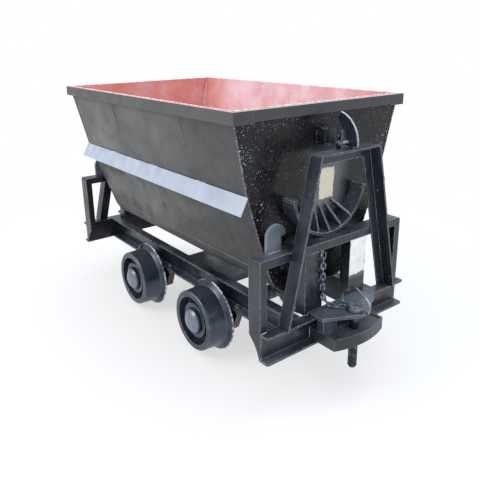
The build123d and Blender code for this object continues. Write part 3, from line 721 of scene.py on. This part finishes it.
@dataclass(frozen=True)
class BareSteel(Finish):
    """Plain carbon steel without paint: turned pins, chain, rings and weld metal.

    Grey and dull with darker oil stains, brighter on the high spots.
    """

    dark: str = "#3a3d42"
    pale: str = "#8c9198"
    share: float = 0.5
    metallic: float = 0.7
    rough: float = 0.42
    grain_mm: float = 6.0
    relief_mm: float = 0.5
    edge_mm: float = 1.5
    rubbed_above: float | None = None

    def cover(self, s: Surface) -> None:
        """Build the stains and the bright high spots, and the rubbed top where there is one.

        Args:
            s: the surface.
        """
        stains = Fractal(self.grain_mm, 5, 0.65).at(s.place)
        edges, rounded = s.edges(self.edge_mm, 0.25)
        more = 0.3 * self.share
        level = stains.smooth(0.62 - more, 0.86 - more) + edges * 0.5
        if self.rubbed_above is not None:
            rubbed = s.z.smooth(self.rubbed_above - 0.001, self.rubbed_above + 0.004, (0.0, 0.7))
            level = level + rubbed * stains.smooth(0.3, 0.6)
        relief = self.relief_mm * MM
        s.shade(
            {"Height": stains, "Distance": relief, "Strength": 0.4, "Normal": rounded},
            {
                "Base Color": level.blend(self.dark, self.pale),
                "Roughness": self.rough, "Metallic": self.metallic,
            },
        )


class Steel(Enum):
    """Finishes of the weld metal, the chains and the small hardware.

    Their numbers are the pale share, metallic, roughness, grain in mm and relief in mm.
    """

    BRIGHT = BareSteel("weld_metal", "#54575c", "#c9ccd0", 0.9, 0.2, 0.5, 9)
    # the painted weld's pale blue-grey is a painted highlight on its glossy black lumps
    PAINTED = BareSteel("painted_weld", "#141619", "#828c9b", 0.45, 0.0, 0.15, 11)
    PRIMED = BareSteel("primed_weld", "#c27f7a", "#f2d6d1", 0.9, 0.0, 0.5, 14)
    CHIPPED = BareSteel("chipped_weld", "#232528", "#c3c6ca", 0.55, 0.0, 0.4, 7)
    DUSTY = BareSteel("dusty_weld", "#5b5c59", "#8e8f8c", 0.5, 0.0, 0.6, 12)
    CHAIN = BareSteel("chain_steel", "#454b55", "#b3bcc9", 0.7, 0.6, 0.33, 18, 0.15)


@dataclass
class Paintwork:
    """The finishes of the CAD pieces, by the start of their names."""

    made: dict[str, Material] = field(default_factory=dict)

    def finishes(self) -> dict[str, Finish]:
        """Every finish of the CAD pieces.

        Returns:
            Start of the names that wear it to the finish, with the plain one under none.
        """
        cream = Patch(0.041, 0.863, 0.042, 0.067, "#d8d1b8", haze_mm=110, haze_share=0.45)
        white = Patch(0.132, 0.560, 0.052, 0.098, "#ececea", ragged_mm=9, haze_mm=25)
        tar = {
            "coat": "#0d0e0f", "faded": "#18191a", "clear": "#101112", "soot_and_shade": "#0a0b0c",
            "spatter": "#cdd0d4", "speckled": 1.0, "gloss": 0.20, "matt": 0.42,
            "wave_mm": 1.1, "specular": 0.28,
        }
        return {
            # black gloss over the rolled frame, dusty on top, bright along its edges from wear and
            # a painted highlight
            "": Enamel("black_enamel"),
            # hopper sheets: road dust has dulled the sides, and bitumen paint blacks the ends
            "hopper_side": HopperEnamel("road_dust_enamel", gloss=0.40, matt=0.62, wear=0.3),
            "hopper_floor": HopperEnamel("road_dust_enamel_floor", gloss=0.42, matt=0.64, wear=0.3),
            "hopper_end": HopperEnamel("tar_enamel", **tar),
            "hopper_end_front": HopperEnamel("tar_enamel_patched", patch=cream, **tar),
            "hopper_rim": RimEnamel("rim_enamel", "#28292a", "#37383c", gloss=0.33, matt=0.55),
            "side_strip": Enamel(
                "pale_blue_enamel", "#a7b1c0", "#c0c9d6", "#aab0b9", 0.15, spatter_share=0.0,
                worn_and_highlit="#eef2f8", gloss=0.25, matt=0.45,
            ),
            # running gear: blue-grey steel and dark boxes
            "wheel": CastSteel("cast_steel_wheel"),
            "axle_box": Enamel("box_enamel", "#101113", "#1f2124", "#45474b", 0.05),
            "axle": BareSteel("turned_axle", grain_mm=30),
            # couplings: rough black casting, greyer rolled tongue, turned pin rubbed at the top
            "coupler_jaw": CastCoat("cast_jaw_coat"),
            "coupler_tongue": Enamel("tongue_enamel", "#2e343b", "#444c55", "#66707a", 0.25),
            "coupling_pin": BareSteel(
                "turned_pin", "#2b2f34", "#8d95a1", 0.35,
                grain_mm=22, relief_mm=0.3, rubbed_above=0.374,
            ),
            # fittings: grey hooks with wear, chipped rockers, a latch cut by flame and glossy
            # catches;
            # their pale edges are partly a painted highlight
            "hook": Enamel("hook_enamel", "#464c53", "#646a71", "#8a9097", 0.3, worn_and_highlit="#c8ced6"),
            "rocker": Enamel(
                "rocker_enamel", "#23262d", "#3a3f49", "#6a707a", 0.15,
                worn_and_highlit="#e6ecf5", spatter_share=0.15,
            ),
            "latch": EdgedEnamel(
                "latch_enamel", "#15171b", "#2b2f36", "#5c5f66", 0.12, worn_and_highlit="#d4dbe4"
            ),
            "latch_catch": Enamel(
                "catch_enamel", "#0d0e10", "#1c1f24", "#3c4045", 0.06,
                gloss=0.10, wave_mm=5.0, wear=0.25,
            ),
            "inner_post_front_left": Enamel("black_enamel_patched", patch=white),
            "pin_": BareSteel("bail_steel", "#5b6068", "#a9b0ba", 0.7, 0.6, 0.33, 45, 0.1),
        }

    def build(self) -> None:
        """Make every finish once."""
        self.made = {start: finish.build() for start, finish in self.finishes().items()}

    def dress(self, nodes: dict[str, Piece]) -> None:
        """Give each CAD node the finish with the longest matching name.

        Args:
            nodes: CAD node name to object.
        """
        for name, node in nodes.items():
            start = max((s for s in self.made if name.startswith(s)), key=len)
            node.data.materials.clear()
            node.data.materials.append(self.made[start])
            LOG.info("%s wears %s", name, self.made[start].name)


def mesh_object(
    name: str, points: np.ndarray, faces: np.ndarray, material: Material, smooth: bool = True
) -> Piece:
    """Put whole arrays of vertices and quads into a mesh object at the origin.

    Args:
        name: object name.
        points: vertices, N by 3.
        faces: vertex indices, M by 4.
        material: material of every face.
        smooth: shade the faces smoothly.

    Returns:
        The linked object.
    """
    mesh = bpy.data.meshes.new(name)
    mesh.vertices.add(len(points))
    mesh.vertices.foreach_set("co", points.astype(np.float32).ravel())
    mesh.loops.add(faces.size)
    mesh.loops.foreach_set("vertex_index", faces.astype(np.int32).ravel())
    mesh.polygons.add(len(faces))
    mesh.polygons.foreach_set("loop_start", np.arange(0, faces.size, 4, dtype=np.int32))
    mesh.polygons.foreach_set("use_smooth", np.full(len(faces), smooth))
    mesh.update(calc_edges=True)
    mesh.validate()
    mesh.materials.append(material)
    piece = bpy.data.objects.new(name, mesh)
    bpy.context.scene.collection.objects.link(piece)
    return piece


def grid_faces(rows: int, columns: int, ring: bool = False) -> np.ndarray:
    """Quads of a grid of sections along a path, closed round each section.

    Args:
        rows: sections along the path.
        columns: points round a section.
        ring: the path closes too, and its sections run the other way round.

    Returns:
        Vertex indices, one row of four for each quad.
    """
    i, j = np.meshgrid(np.arange(rows if ring else rows - 1), np.arange(columns), indexing="ij")
    next_i, next_j = (i + 1) % rows, (j + 1) % columns
    here, beside = i * columns + j, i * columns + next_j
    beyond, across = next_i * columns + j, next_i * columns + next_j
    order = (here, beyond, across, beside) if ring else (here, beside, across, beyond)
    return np.stack(order, -1).reshape(-1, 4)


def joined(parts: list[Quads]) -> Quads:
    """Put several surfaces into one pair of arrays.

    Args:
        parts: vertices and quads of each.

    Returns:
        Vertices and quads of all.
    """
    bases = np.cumsum([0] + [len(points) for points, _ in parts[:-1]])
    faces = [quads + base for (_, quads), base in zip(parts, bases)]
    return np.concatenate([points for points, _ in parts]), np.concatenate(faces)


@dataclass(frozen=True)
class WeldBead:
    """A run of weld metal: a tube along a path whose radius ripples with each pass."""

    radius_mm: float
    pitch_mm: float
    around: int = 8
    lumps: float = 0.22
    least_r: float = 0.0002
    first_seed: int = 11

    def run(self, corners: np.ndarray, seed: int) -> Quads:
        """Surface of one bead.

        The radius is r(s) = R (0.82 + 0.18 |sin(pi s / pitch)| + noise(s)), tapered to
        nothing at both ends; the section is a circle square to the path.

        Args:
            corners: points that the path runs through, N by 3.
            seed: start of the random numbers.

        Returns:
            Vertices and quads of the closed tube.
        """
        full, pitch = self.radius_mm * MM, self.pitch_mm * MM
        steps = np.linalg.norm(np.diff(corners, axis=0), axis=1)
        length = np.concatenate([[0], np.cumsum(steps)])
        count = max(6, int(length[-1] / pitch * 3))
        s = np.linspace(0, length[-1], count)
        path = np.stack([np.interp(s, length, corners[:, k]) for k in range(3)], -1)
        tangent = np.gradient(path, axis=0)
        tangent /= np.linalg.norm(tangent, axis=1, keepdims=True)
        spare = np.where(np.abs(tangent[:, 2:3]) < 0.9, [[0.0, 0.0, 1.0]], [[0.0, 1.0, 0.0]])
        across = np.cross(tangent, spare)
        across /= np.linalg.norm(across, axis=1, keepdims=True)
        upward = np.cross(across, tangent)
        random = np.random.default_rng(seed)
        rough = np.convolve(random.normal(0, self.lumps, count + 2), [0.25, 0.5, 0.25], "valid")
        radius = full * (0.82 + 0.18 * np.abs(np.sin(np.pi * s / pitch)) + rough)
        taper = np.clip(np.minimum(s, length[-1] - s) / (2 * full), 0, 1)
        radius = np.clip(radius, self.least_r, None) * taper
        angle = np.linspace(0, 2 * np.pi, self.around, endpoint=False)[None, :, None]
        ring = across[:, None] * np.cos(angle) + upward[:, None] * np.sin(angle)
        points = path[:, None] + ring * radius[:, None, None]
        return points.reshape(-1, 3), grid_faces(count, self.around)

    def join(self, name: str, runs: list[np.ndarray], material: Material) -> Piece:
        """Join several runs into one object.

        Args:
            name: object name.
            runs: paths of the runs.
            material: material of the weld metal.

        Returns:
            The joined object.
        """
        paths = enumerate(runs, self.first_seed)
        parts = [self.run(np.asarray(corners, float), seed) for seed, corners in paths]
        return mesh_object(name, *joined(parts), material)


@dataclass(frozen=True)
class Lamp:
    """A soft square lamp that hangs at a place and faces a target."""

    name: str
    place: Point
    target: Point
    size: float
    power: float
    tint: str

    def hang(self) -> None:
        """Add the lamp to the scene."""
        data = bpy.data.lights.new(self.name, "AREA")
        data.shape = "SQUARE"
        data.size = self.size
        data.energy = self.power
        data.color = linear(self.tint)[:3]
        lamp = bpy.data.objects.new(self.name, data)
        lamp.location = self.place
        towards = Vector(self.target) - Vector(self.place)
        lamp.rotation_euler = towards.to_track_quat("-Z", "Y").to_euler()
        bpy.context.scene.collection.objects.link(lamp)


@dataclass
class Studio:
    """Camera, lamps, floor and world of the photograph's viewpoint."""

    lens_px: float = 536.4
    centre_row_px: float = 205.0
    position: Point = (2.243, -1.581, 1.449)
    yaw_deg: float = 142.45
    pitch_deg: float = 17.23
    roll_deg: float = -0.78
    sensor_mm: float = 36.0
    floor_half: float = 30.0
    shadow_reach: Pair = (1.1, 2.6)
    shadow_glow: Pair = (0.62, 1.0)
    sky_heights: Pair = (-0.1, 0.55)
    lamps: tuple[Lamp, ...] = (
        Lamp("key", (-1.5, -5.0, 4.5), (0, 0, 0.7), 3.5, 205, "#fffdfa"),
        Lamp("top", (0.5, 0.5, 5.0), (0, 0, 0.8), 4.0, 135, "#eef4ff"),
        Lamp("end_fill", (5.0, 1.0, 2.5), (0.5, 0, 0.7), 2.5, 66, "#eef4ff"),
    )

    def camera(self) -> None:
        """Camera solved from the car's own edges, as lens, place, yaw, pitch and roll."""
        yaw, pitch, roll = (math.radians(a) for a in (self.yaw_deg, self.pitch_deg, self.roll_deg))
        level = math.cos(pitch)
        ahead = Vector((math.cos(yaw) * level, math.sin(yaw) * level, -math.sin(pitch)))
        right = ahead.cross(Vector((0, 0, 1))).normalized()
        up = right.cross(ahead)
        tilted_right = right * math.cos(roll) + up * math.sin(roll)
        tilted_up = up * math.cos(roll) - right * math.sin(roll)
        data = bpy.data.cameras.new("camera")
        data.sensor_width = self.sensor_mm
        data.lens = self.lens_px / PHOTO_PX * self.sensor_mm
        data.shift_y = (self.centre_row_px - PHOTO_PX / 2) / PHOTO_PX
        data.clip_end = 50
        camera = bpy.data.objects.new("camera", data)
        axes = Matrix((tilted_right, tilted_up, -ahead)).transposed().to_4x4()
        camera.matrix_world = Matrix.Translation(self.position) @ axes
        bpy.context.scene.collection.objects.link(camera)
        bpy.context.scene.camera = camera

    def world(self) -> None:
        """Soft sky light, and plain white to the camera."""
        world = bpy.data.worlds.new("studio")
        tree = cleared(world)
        ray = add(tree, "LightPath", output="Is Camera Ray")
        seen = ray.most(ray.beside("Is Transmission Ray"))
        direction = add(tree, "TexCoord", output="Generated")
        height = add(tree, "SeparateXYZ", (direction,), 2)
        sky = height.smooth(*self.sky_heights).blend("#8e9196", "#eef4ff")
        inputs = {"Color": seen.blend(sky, "#ffffff"), "Strength": 1.0}
        add(tree, "OutputWorld", (add(tree, "Background", inputs),))
        bpy.context.scene.world = world

    def floor(self) -> None:
        """Pale floor that shows white to the camera away from the car's shadow."""
        material = bpy.data.materials.new("studio_floor")
        tree = cleared(material)
        ray = add(tree, "LightPath", output="Is Camera Ray")
        seen = ray.most(ray.beside("Is Glossy Ray"))
        place = add(tree, "TexCoord", output="Object")
        distance = add(tree, "VectorMath", (place,), "Value", operation="LENGTH")
        share = seen * distance.smooth(*self.shadow_reach, self.shadow_glow)
        matt = add(tree, "BsdfDiffuse", {"Color": "#e6e6e6"})
        glow = add(tree, "Emission", {"Color": "#ffffff", "Strength": 1.0})
        add(tree, "OutputMaterial", (add(tree, "MixShader", (share, matt, glow)),))
        signs = np.array([(-1, -1, 0), (1, -1, 0), (1, 1, 0), (-1, 1, 0)])
        corners = signs * self.floor_half
        floor = mesh_object("floor", corners, np.array([[0, 1, 2, 3]]), material)

    def build(self) -> None:
        """Set up everything but the car."""
        self.camera()
        self.world()
        self.floor()
        for lamp in self.lamps:
            lamp.hang()
        scene = bpy.context.scene
        scene.view_settings.view_transform = "Standard"
        LOG.info("studio ready")


@dataclass
class HopperWelds:
    """Weld beads on the hopper: its seams, its lining, the rim, the strips, ribs and catches."""

    top_z: float = 1.208
    rim_height: float = 0.047
    rim_inset: float = 0.003
    top_half: float = 0.464
    bend_half: float = 0.386
    floor_z: float = 0.410
    floor_half: float = 0.224
    floor_r: float = 0.150
    seam_rise: float = 0.010
    seam_end: float = 0.004
    end_half: float = 0.734
    end_slope: float = 0.04
    wall: float = 0.006
    lining_drop: float = 0.01
    strip_z: float = 0.881
    tack_out: float = 0.002
    tacks: tuple[Pair, ...] = (
        (-0.417, -0.345), (-0.014, 0.074), (0.395, 0.470), (-0.742, -0.715), (0.715, 0.742),
    )
    bars: tuple = ((-0.253, -0.255, 1.138, 1.022), (0.373, 0.370, 1.144, 1.019))
    rib_angles: tuple[int, ...] = (-40, -20, 0, 20, 40)
    rib_reach: Pair = (0.097, 0.196)
    rib_half: float = 0.004
    rib_gap: float = 0.001
    catch_y: Pair = (-0.040, 0.024)
    catch_z: Pair = (1.045, 1.106)
    catch_weld_mm: float = 5.0
    catch_face: float = 0.790
    catch_free_y: float = 0.006
    foot_out: float = 0.8
    spill_in: float = 0.002
    spill_out: float = 0.004
    top_spill: Pair = (0.012, 0.020)

    @property
    def lean(self) -> float:
        """Angle of the lower sides off the vertical, in radians."""
        return math.atan2(self.bend_half - self.floor_half, PIVOT_Z - self.floor_z)

    @property
    def flat_half(self) -> float:
        """Half width of the floor's flat part, between its two curves."""
        return self.floor_half - self.floor_r * math.tan((math.pi / 2 - self.lean) / 2)

    def skin(self, z: float) -> float:
        """Half width of the outer skin at a height above the bend."""
        slope = (self.top_half - self.bend_half) / (self.top_z - PIVOT_Z)
        return self.bend_half + slope * (z - PIVOT_Z)

    def end_x(self, z: float | np.ndarray) -> float | np.ndarray:
        """Distance of the end plate's outer face from the middle at a height."""
        return self.end_half + self.end_slope * (z - PIVOT_Z)

    def section(self, inset: float, top: float) -> np.ndarray:
        """Right half of the hopper's section from the top down to the middle of the floor.

        Straight runs from the top to the bend and on to the floor's curve, then an arc
        of radius floor_r that ends flat.

        Args:
            inset: how far inside the outer skin the line runs.
            top: height at which it starts.

        Returns:
            Points as (y, z).
        """
        angles = np.linspace(-self.lean, -math.pi / 2, 14)
        around = np.stack([np.cos(angles), np.sin(angles)], -1) * (self.floor_r - inset)
        arc = around + (self.flat_half, self.floor_z + self.floor_r)
        start = np.array([[self.skin(top) - inset, top]])
        bend = np.array([[self.bend_half - inset, PIVOT_Z]])
        return np.concatenate([start, bend, arc, [[0.0, self.floor_z + inset]]])

    def loop(self, end: End, inset: float, top: float) -> np.ndarray:
        """Path round one end plate from rim to rim, lying in the plate's leaning plane.

        Args:
            end: which end of the car.
            inset: how far inside the outer skin the path runs.
            top: height of both its ends.

        Returns:
            Points, N by 3.
        """
        half = self.section(inset, top)
        whole = np.concatenate([half, half[-2::-1] * np.array([-1, 1])])
        return np.column_stack([end.value * (self.end_x(whole[:, 1]) - inset), whole])

    def rim_loop(self) -> np.ndarray:
        """Closed path along the rim's inner edge, on top of the walls.

        Returns:
            Corners, N by 3.
        """
        x, y = self.end_x(self.top_z) - self.rim_inset, self.top_half - self.rim_inset
        corners = [(x, y), (-x, y), (-x, -y), (x, -y), (x, y)]
        return np.array([(*corner, self.top_z) for corner in corners])

    def tack_runs(self, side: Side) -> list[np.ndarray]:
        """Tacks on the upper edge of one side's strip."""
        y = side.value * (self.skin(self.strip_z) + self.tack_out)
        return [np.array([(x, y, self.strip_z) for x in ends]) for ends in self.tacks]

    def bar_runs(self, side: Side) -> list[np.ndarray]:
        """The two slanted bars under the rim of one side."""
        bars = [((x0, z0), (x1, z1)) for x0, x1, z0, z1 in self.bars]
        return [np.array([(x, side.value * self.skin(z), z) for x, z in bar]) for bar in bars]

    def floor_seam(self, side: Side) -> np.ndarray:
        """Seam between the floor sheet and one side, seam_rise above the floor's curve.

        Args:
            side: which side of the car.

        Returns:
            Its two ends.
        """
        lean = self.lean
        y = self.flat_half + self.floor_r * math.cos(lean) + self.seam_rise * math.tan(lean)
        z = self.floor_z + self.floor_r * (1 - math.sin(lean)) + self.seam_rise
        x = self.end_x(z) - self.seam_end
        return np.array([(-x, side.value * y, z), (x, side.value * y, z)])

    def rib_runs(self, end: End) -> list[np.ndarray]:
        """A bead on both flanks of each rocker rib, along the end plate.

        Args:
            end: which end of the car.

        Returns:
            Paths of the runs.
        """
        runs = []
        reach = np.array(self.rib_reach)[:, None]
        for angle in np.radians(self.rib_angles):
            radial = np.array([math.sin(angle), -math.cos(angle)])
            across = np.array([math.cos(angle), math.sin(angle)])
            for flank in (1, -1):
                flat = radial * reach + across * flank * (self.rib_half + self.rib_gap)
                z = PIVOT_Z + flat[:, 1]
                x = self.end_x(z) + self.rib_gap
                runs.append(np.column_stack([end.value * x, end.value * flat[:, 0], z]))
        return runs

    def catch_loop(self, end: End) -> np.ndarray:
        """Closed path round the foot of one catch.

        Args:
            end: which end of the car.

        Returns:
            Corners, N by 3.
        """
        (y0, y1), (z0, z1) = self.catch_y, self.catch_z
        corners = [(y0, z0), (y1, z0), (y1, z1), (y0, z1), (y0, z0)]
        out = self.catch_weld_mm * MM * self.foot_out
        return np.array([(end.value * (self.end_x(z) + out), end.value * y, z) for y, z in corners])

    def catch_edges(self, end: End) -> list[np.ndarray]:
        """Runs of spilt weld metal along the catch's outer edges, clear of the latch blade.

        Args:
            end: which end of the car.

        Returns:
            Paths of the runs.
        """
        y0, y1 = self.catch_y[0], self.catch_free_y
        face, top = self.catch_face - self.spill_in, self.catch_z[1]
        plate = self.end_x(1.0)
        runs = [[(face, y0, z), (face, y1, z)] for z in self.catch_z]
        runs += [[(self.end_x(z) + self.spill_out, y0, z), (face, y0, z)] for z in self.catch_z]
        runs.append([(plate + out, y, top) for out, y in zip(self.top_spill, (y0, y1))])
        return [np.array(run) * (end.value, end.value, 1.0) for run in runs]

    def build(self, steels: dict[Steel, Material]) -> None:
        """Make all the beads.

        Args:
            steels: the materials of weld metal.
        """
        seams = [self.loop(end, 0.0, self.top_z - self.rim_height) for end in End]
        tacks = [run for side in Side for run in self.tack_runs(side)]
        bars = [run for side in Side for run in self.bar_runs(side)]
        bars += [self.floor_seam(side) for side in Side]
        lining = [self.loop(end, self.wall, self.top_z - self.lining_drop) for end in End]
        ribs = [run for end in End for run in self.rib_runs(end)]
        catches = [self.catch_loop(end) for end in End]
        catches += [run for end in End for run in self.catch_edges(end)]
        for name, radius_mm, pitch_mm, runs, steel in (
            ("hopper_seam_welds", 3.0, 7.0, seams, Steel.CHIPPED),
            ("side_tack_welds", 3.6, 9.0, tacks, Steel.BRIGHT),
            ("side_bar_welds", 2.6, 8.0, bars, Steel.DUSTY),
            ("hopper_lining_welds", 4.5, 9.0, lining, Steel.PRIMED),
            ("rim_edge_welds", 3.4, 11.0, [self.rim_loop()], Steel.PRIMED),
            ("rocker_rib_welds", 2.6, 7.0, ribs, Steel.CHIPPED),
            ("catch_welds", self.catch_weld_mm, 15.0, catches, Steel.PAINTED),
        ):
            piece = WeldBead(radius_mm, pitch_mm).join(name, runs, steels[steel])
            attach(piece, Body.HOPPER.value)
            LOG.info("%s rides on the hopper", piece.name)


@dataclass
class FrameWelds:
    """Weld beads where posts, hooks, stays and couplings stand on the frame."""

    beam_x: float = 0.845
    beam_top: float = 0.361
    portal_top: float = 0.660
    posts_y: Pair = (0.082, 0.182)
    portal_y: Pair = (0.383, 0.417)
    hook_x: float = 0.8005
    hook_y: Pair = (0.272, 0.346)
    jaw_half: float = 0.150
    jaw_z: Pair = (0.249, 0.301)
    tongue_half: float = 0.162
    tongue_top: float = 0.374

    def end_runs(self, end: End) -> list[np.ndarray]:
        """Paths of one end's beads, each a straight run along a joint.

        Args:
            end: which end of the car.

        Returns:
            Paths of the runs.
        """
        face, low = self.beam_x, self.beam_top
        runs = [[(face, -self.jaw_half, self.jaw_z[1]), (face, self.jaw_half, self.jaw_z[1])]]
        for side in Side:
            for feet in (self.posts_y, self.portal_y):
                runs.append([(face, side.value * y, low) for y in feet])
            runs.append([(self.hook_x, side.value * y, self.portal_top) for y in self.hook_y])
            runs.append([(face, side.value * self.jaw_half, z) for z in self.jaw_z])
            tongue = side.value * self.tongue_half
            runs.append([(face, tongue, z) for z in (low, self.tongue_top)])
        return [np.array(run) * (end.value, end.value, 1.0) for run in runs]

    def build(self, steels: dict[Steel, Material]) -> None:
        """Make the beads as one piece.

        Args:
            steels: the materials of weld metal.
        """
        runs = [run for end in End for run in self.end_runs(end)]
        piece = WeldBead(3.0, 6.0).join("frame_welds", runs, steels[Steel.BRIGHT])
        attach(piece, Body.FRAME.value)
        LOG.info("%s rides on the frame", piece.name)


@dataclass
class PinChain:
    """Chain of each coupling pin, with links of round wire on the CAD chain's path.

    Lengths are millimetres here.
    """

    beam_face: float = 845.0
    rest: float = 0.3
    wire: float = 6.0
    width: float = 23.0
    pitch: float = 23.5
    play: float = 0.7
    tongue_top: float = 374.0
    pin_x: float = 955.0
    head_r: float = 35.0
    path_deg: tuple[float, ...] = (0,) * 8 + (22.5, 45, 67.5) + (90,) * 2
    around: int = 44
    section: int = 12

    def link(self) -> np.ndarray:
        """One link as a wire round a racetrack.

        The middle line is two straight runs joined by half circles. At each of its points
        the wire is a circle spanned by the line's outward direction and the link's axis.

        Returns:
            Points, around by section by 3, with x along the link.
        """
        bend = (self.width - self.wire) / 2
        straight = (self.pitch + self.play + self.wire) / 2 - bend
        half = self.around // 2
        angle = np.linspace(-np.pi / 2, np.pi / 2, half)
        out = np.stack([np.cos(angle), np.sin(angle), 0 * angle], -1)
        out = np.concatenate([out, out * np.array([-1, -1, 1])])
        middle = out * bend + np.repeat([[straight, 0, 0], [-straight, 0, 0]], half, axis=0)
        turn = np.linspace(0, 2 * np.pi, self.section, endpoint=False)[None, :, None]
        ring = out[:, None] * np.cos(turn) + np.array([0.0, 0.0, 1.0]) * np.sin(turn)
        return middle[:, None] + ring * self.wire / 2

    def places(self) -> list[tuple[np.ndarray, np.ndarray]]:
        """Middle and axes of each link of the front chain, from its top link to the pin.

        Returns:
            Origin and matrix whose columns are the link's x, y and z, for each link.
        """
        half = self.width / 2
        slopes = np.radians(self.path_deg)
        chain_x = self.beam_face + self.rest + (half + self.wire / 2) * math.sin(math.pi / 4)
        low = self.tongue_top + self.rest + half
        pin_side = self.head_r + self.rest + self.wire + self.play / 2
        reach = pin_side + self.pitch * np.sin(slopes).sum()
        turn = math.acos((self.pin_x - chain_x) / reach)
        outwards = np.array([math.cos(turn), math.sin(turn), 0.0])
        sideways = np.array([math.sin(turn), -math.cos(turn), 0.0])
        top = np.array([self.pin_x, 0.0, low + self.pitch * np.cos(slopes).sum()])
        joint = top - outwards * reach
        found = []
        for number, slope in enumerate(slopes):
            run = outwards * math.sin(slope) + np.array([0.0, 0.0, -math.cos(slope)])
            axis = sideways if number % 2 == 0 else np.cross(sideways, run)
            axes = np.column_stack([run, np.cross(axis, run), axis])
            found.append((joint + run * self.pitch / 2, axes))
            joint = joint + run * self.pitch
        return found

    def build(self, steels: dict[Steel, Material]) -> None:
        """Make both chains, each in place of its CAD node.

        Args:
            steels: the materials, with the links' steel among them.
        """
        link = self.link()
        quads = grid_faces(*link.shape[:2], ring=True)
        flat = link.reshape(-1, 3)
        parts = [(origin + flat @ axes.T, quads) for origin, axes in self.places()]
        points, faces = joined(parts)
        for end in End:
            placed = points * MM * np.array([end.value, end.value, 1.0])
            name = f"pin_chain_links_{end.name.lower()}"
            piece = mesh_object(name, placed, faces, steels[Steel.CHAIN])
            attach(piece, Body.FRAME.value)
            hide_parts(f"pin_chain_{end.name.lower()}")
            LOG.info("%s replaces the plain chain", name)


@dataclass
class Hardware:
    """Washers on the latch pins, and nuts that hold the axle boxes to the sole bars."""

    pin_x: float = 0.859
    pin_z: float = 1.059
    pin_r: float = 0.0062
    ears_y: Pair = (-0.034, 0.044)
    washer_r: float = 0.0115
    washer_thick: float = 0.003
    washer_edge: float = 0.0006
    washer_points: int = 28
    axle_x: float = 0.305
    nut_reach: float = 0.145
    nut_y: float = 0.226
    flange_top: float = 0.2490
    across_flats: float = 0.024
    nut_height: float = 0.012
    nut_chamfer: float = 0.002
    bolt_share: float = 0.5
    bolt_out: Pair = (0.006, 0.007)
    bolt_tip: float = 0.8
    nut_points: int = 48

    def washer(self, x: float, y: float, z: float, outward: int) -> Quads:
        """Flat ring about an axis along y: a rounded rectangle turned round that axis.

        Args:
            x: place along the car.
            y: place of its inner face.
            z: height.
            outward: sign of y on the side that it stands out to.

        Returns:
            Vertices and quads.
        """
        inner, outer, edge = self.pin_r, self.washer_r, self.washer_edge
        far = y + outward * self.washer_thick
        shoulder = far - outward * edge
        profile = np.array([
            (inner, y), (outer, y), (outer, shoulder),
            (outer - edge, far), (inner + edge, far), (inner, shoulder),
        ])[::-outward]
        angle = np.linspace(0, 2 * np.pi, self.washer_points, endpoint=False)[:, None]
        radius, along = profile[None, :, 0], profile[None, :, 1] + 0 * angle
        points = np.stack([x + radius * np.cos(angle), along, z + radius * np.sin(angle)], -1)
        return points.reshape(-1, 3), grid_faces(self.washer_points, len(profile), ring=True)

    def nut(self, x: float, y: float, z: float) -> Quads:
        """Hexagon nut with its bolt's end, standing on the sole bar's flange.

        At angle t the hexagon's radius is a / cos(t mod 60 deg - 30 deg); the top is cut
        by a cone, so each ring has the smaller of the two radii.

        Args:
            x: place along the car.
            y: place across the car.
            z: height of the flange.

        Returns:
            Vertices and quads.
        """
        angle = np.linspace(0, 2 * np.pi, self.nut_points, endpoint=False)
        flat, height = self.across_flats / 2, self.nut_height
        hexagon = flat / np.cos(np.mod(angle, np.pi / 3) - np.pi / 6)
        thread = np.full_like(angle, flat * self.bolt_share)
        shoulder, end = (height + out for out in self.bolt_out)
        rings = (
            (0 * angle, 0.0), (hexagon, 0.0), (hexagon, height - self.nut_chamfer),
            (np.minimum(hexagon, flat), height), (thread, height), (thread, shoulder),
            (thread * self.bolt_tip, end), (0 * angle, end),
        )
        radius = np.array([ring for ring, _ in rings])
        rise = np.array([up for _, up in rings])[:, None] + 0 * radius
        points = np.stack([x + radius * np.cos(angle), y + radius * np.sin(angle), z + rise], -1)
        return points.reshape(-1, 3), grid_faces(len(rings), self.nut_points)

    def build(self, steels: dict[Steel, Material]) -> None:
        """Make the washers and the nuts as one piece each.

        Args:
            steels: the materials, with the chains' steel among them.
        """
        washers, nuts = [], []
        for end in End:
            for y, outward in zip(self.ears_y, (-1, 1)):
                place = (end.value * self.pin_x, end.value * y, self.pin_z)
                washers.append(self.washer(*place, end.value * outward))
            for side in Side:
                for step in (-self.nut_reach, self.nut_reach):
                    x = end.value * self.axle_x + step
                    nuts.append(self.nut(x, side.value * self.nut_y, self.flange_top))
        for name, parts in (("latch_pin_washers", washers), ("axle_box_nuts", nuts)):
            piece = mesh_object(name, *joined(parts), steels[Steel.CHAIN], smooth=False)
            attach(piece, Body.FRAME.value)
            LOG.info("%s rides on the frame", name)


def main() -> None:
    """Load the frame, dress it and build the pieces around it."""
    logging.basicConfig(level=logging.INFO, format="%(name)s: %(message)s")
    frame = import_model()
    Studio().build()
    paint = Paintwork()
    paint.build()
    paint.dress(frame["nodes"])
    steels = {steel: steel.value.build() for steel in Steel}
    for pieces in (HopperWelds(), FrameWelds(), PinChain(), Hardware()):
        pieces.build(steels)


if __name__ == "__main__":
    main()
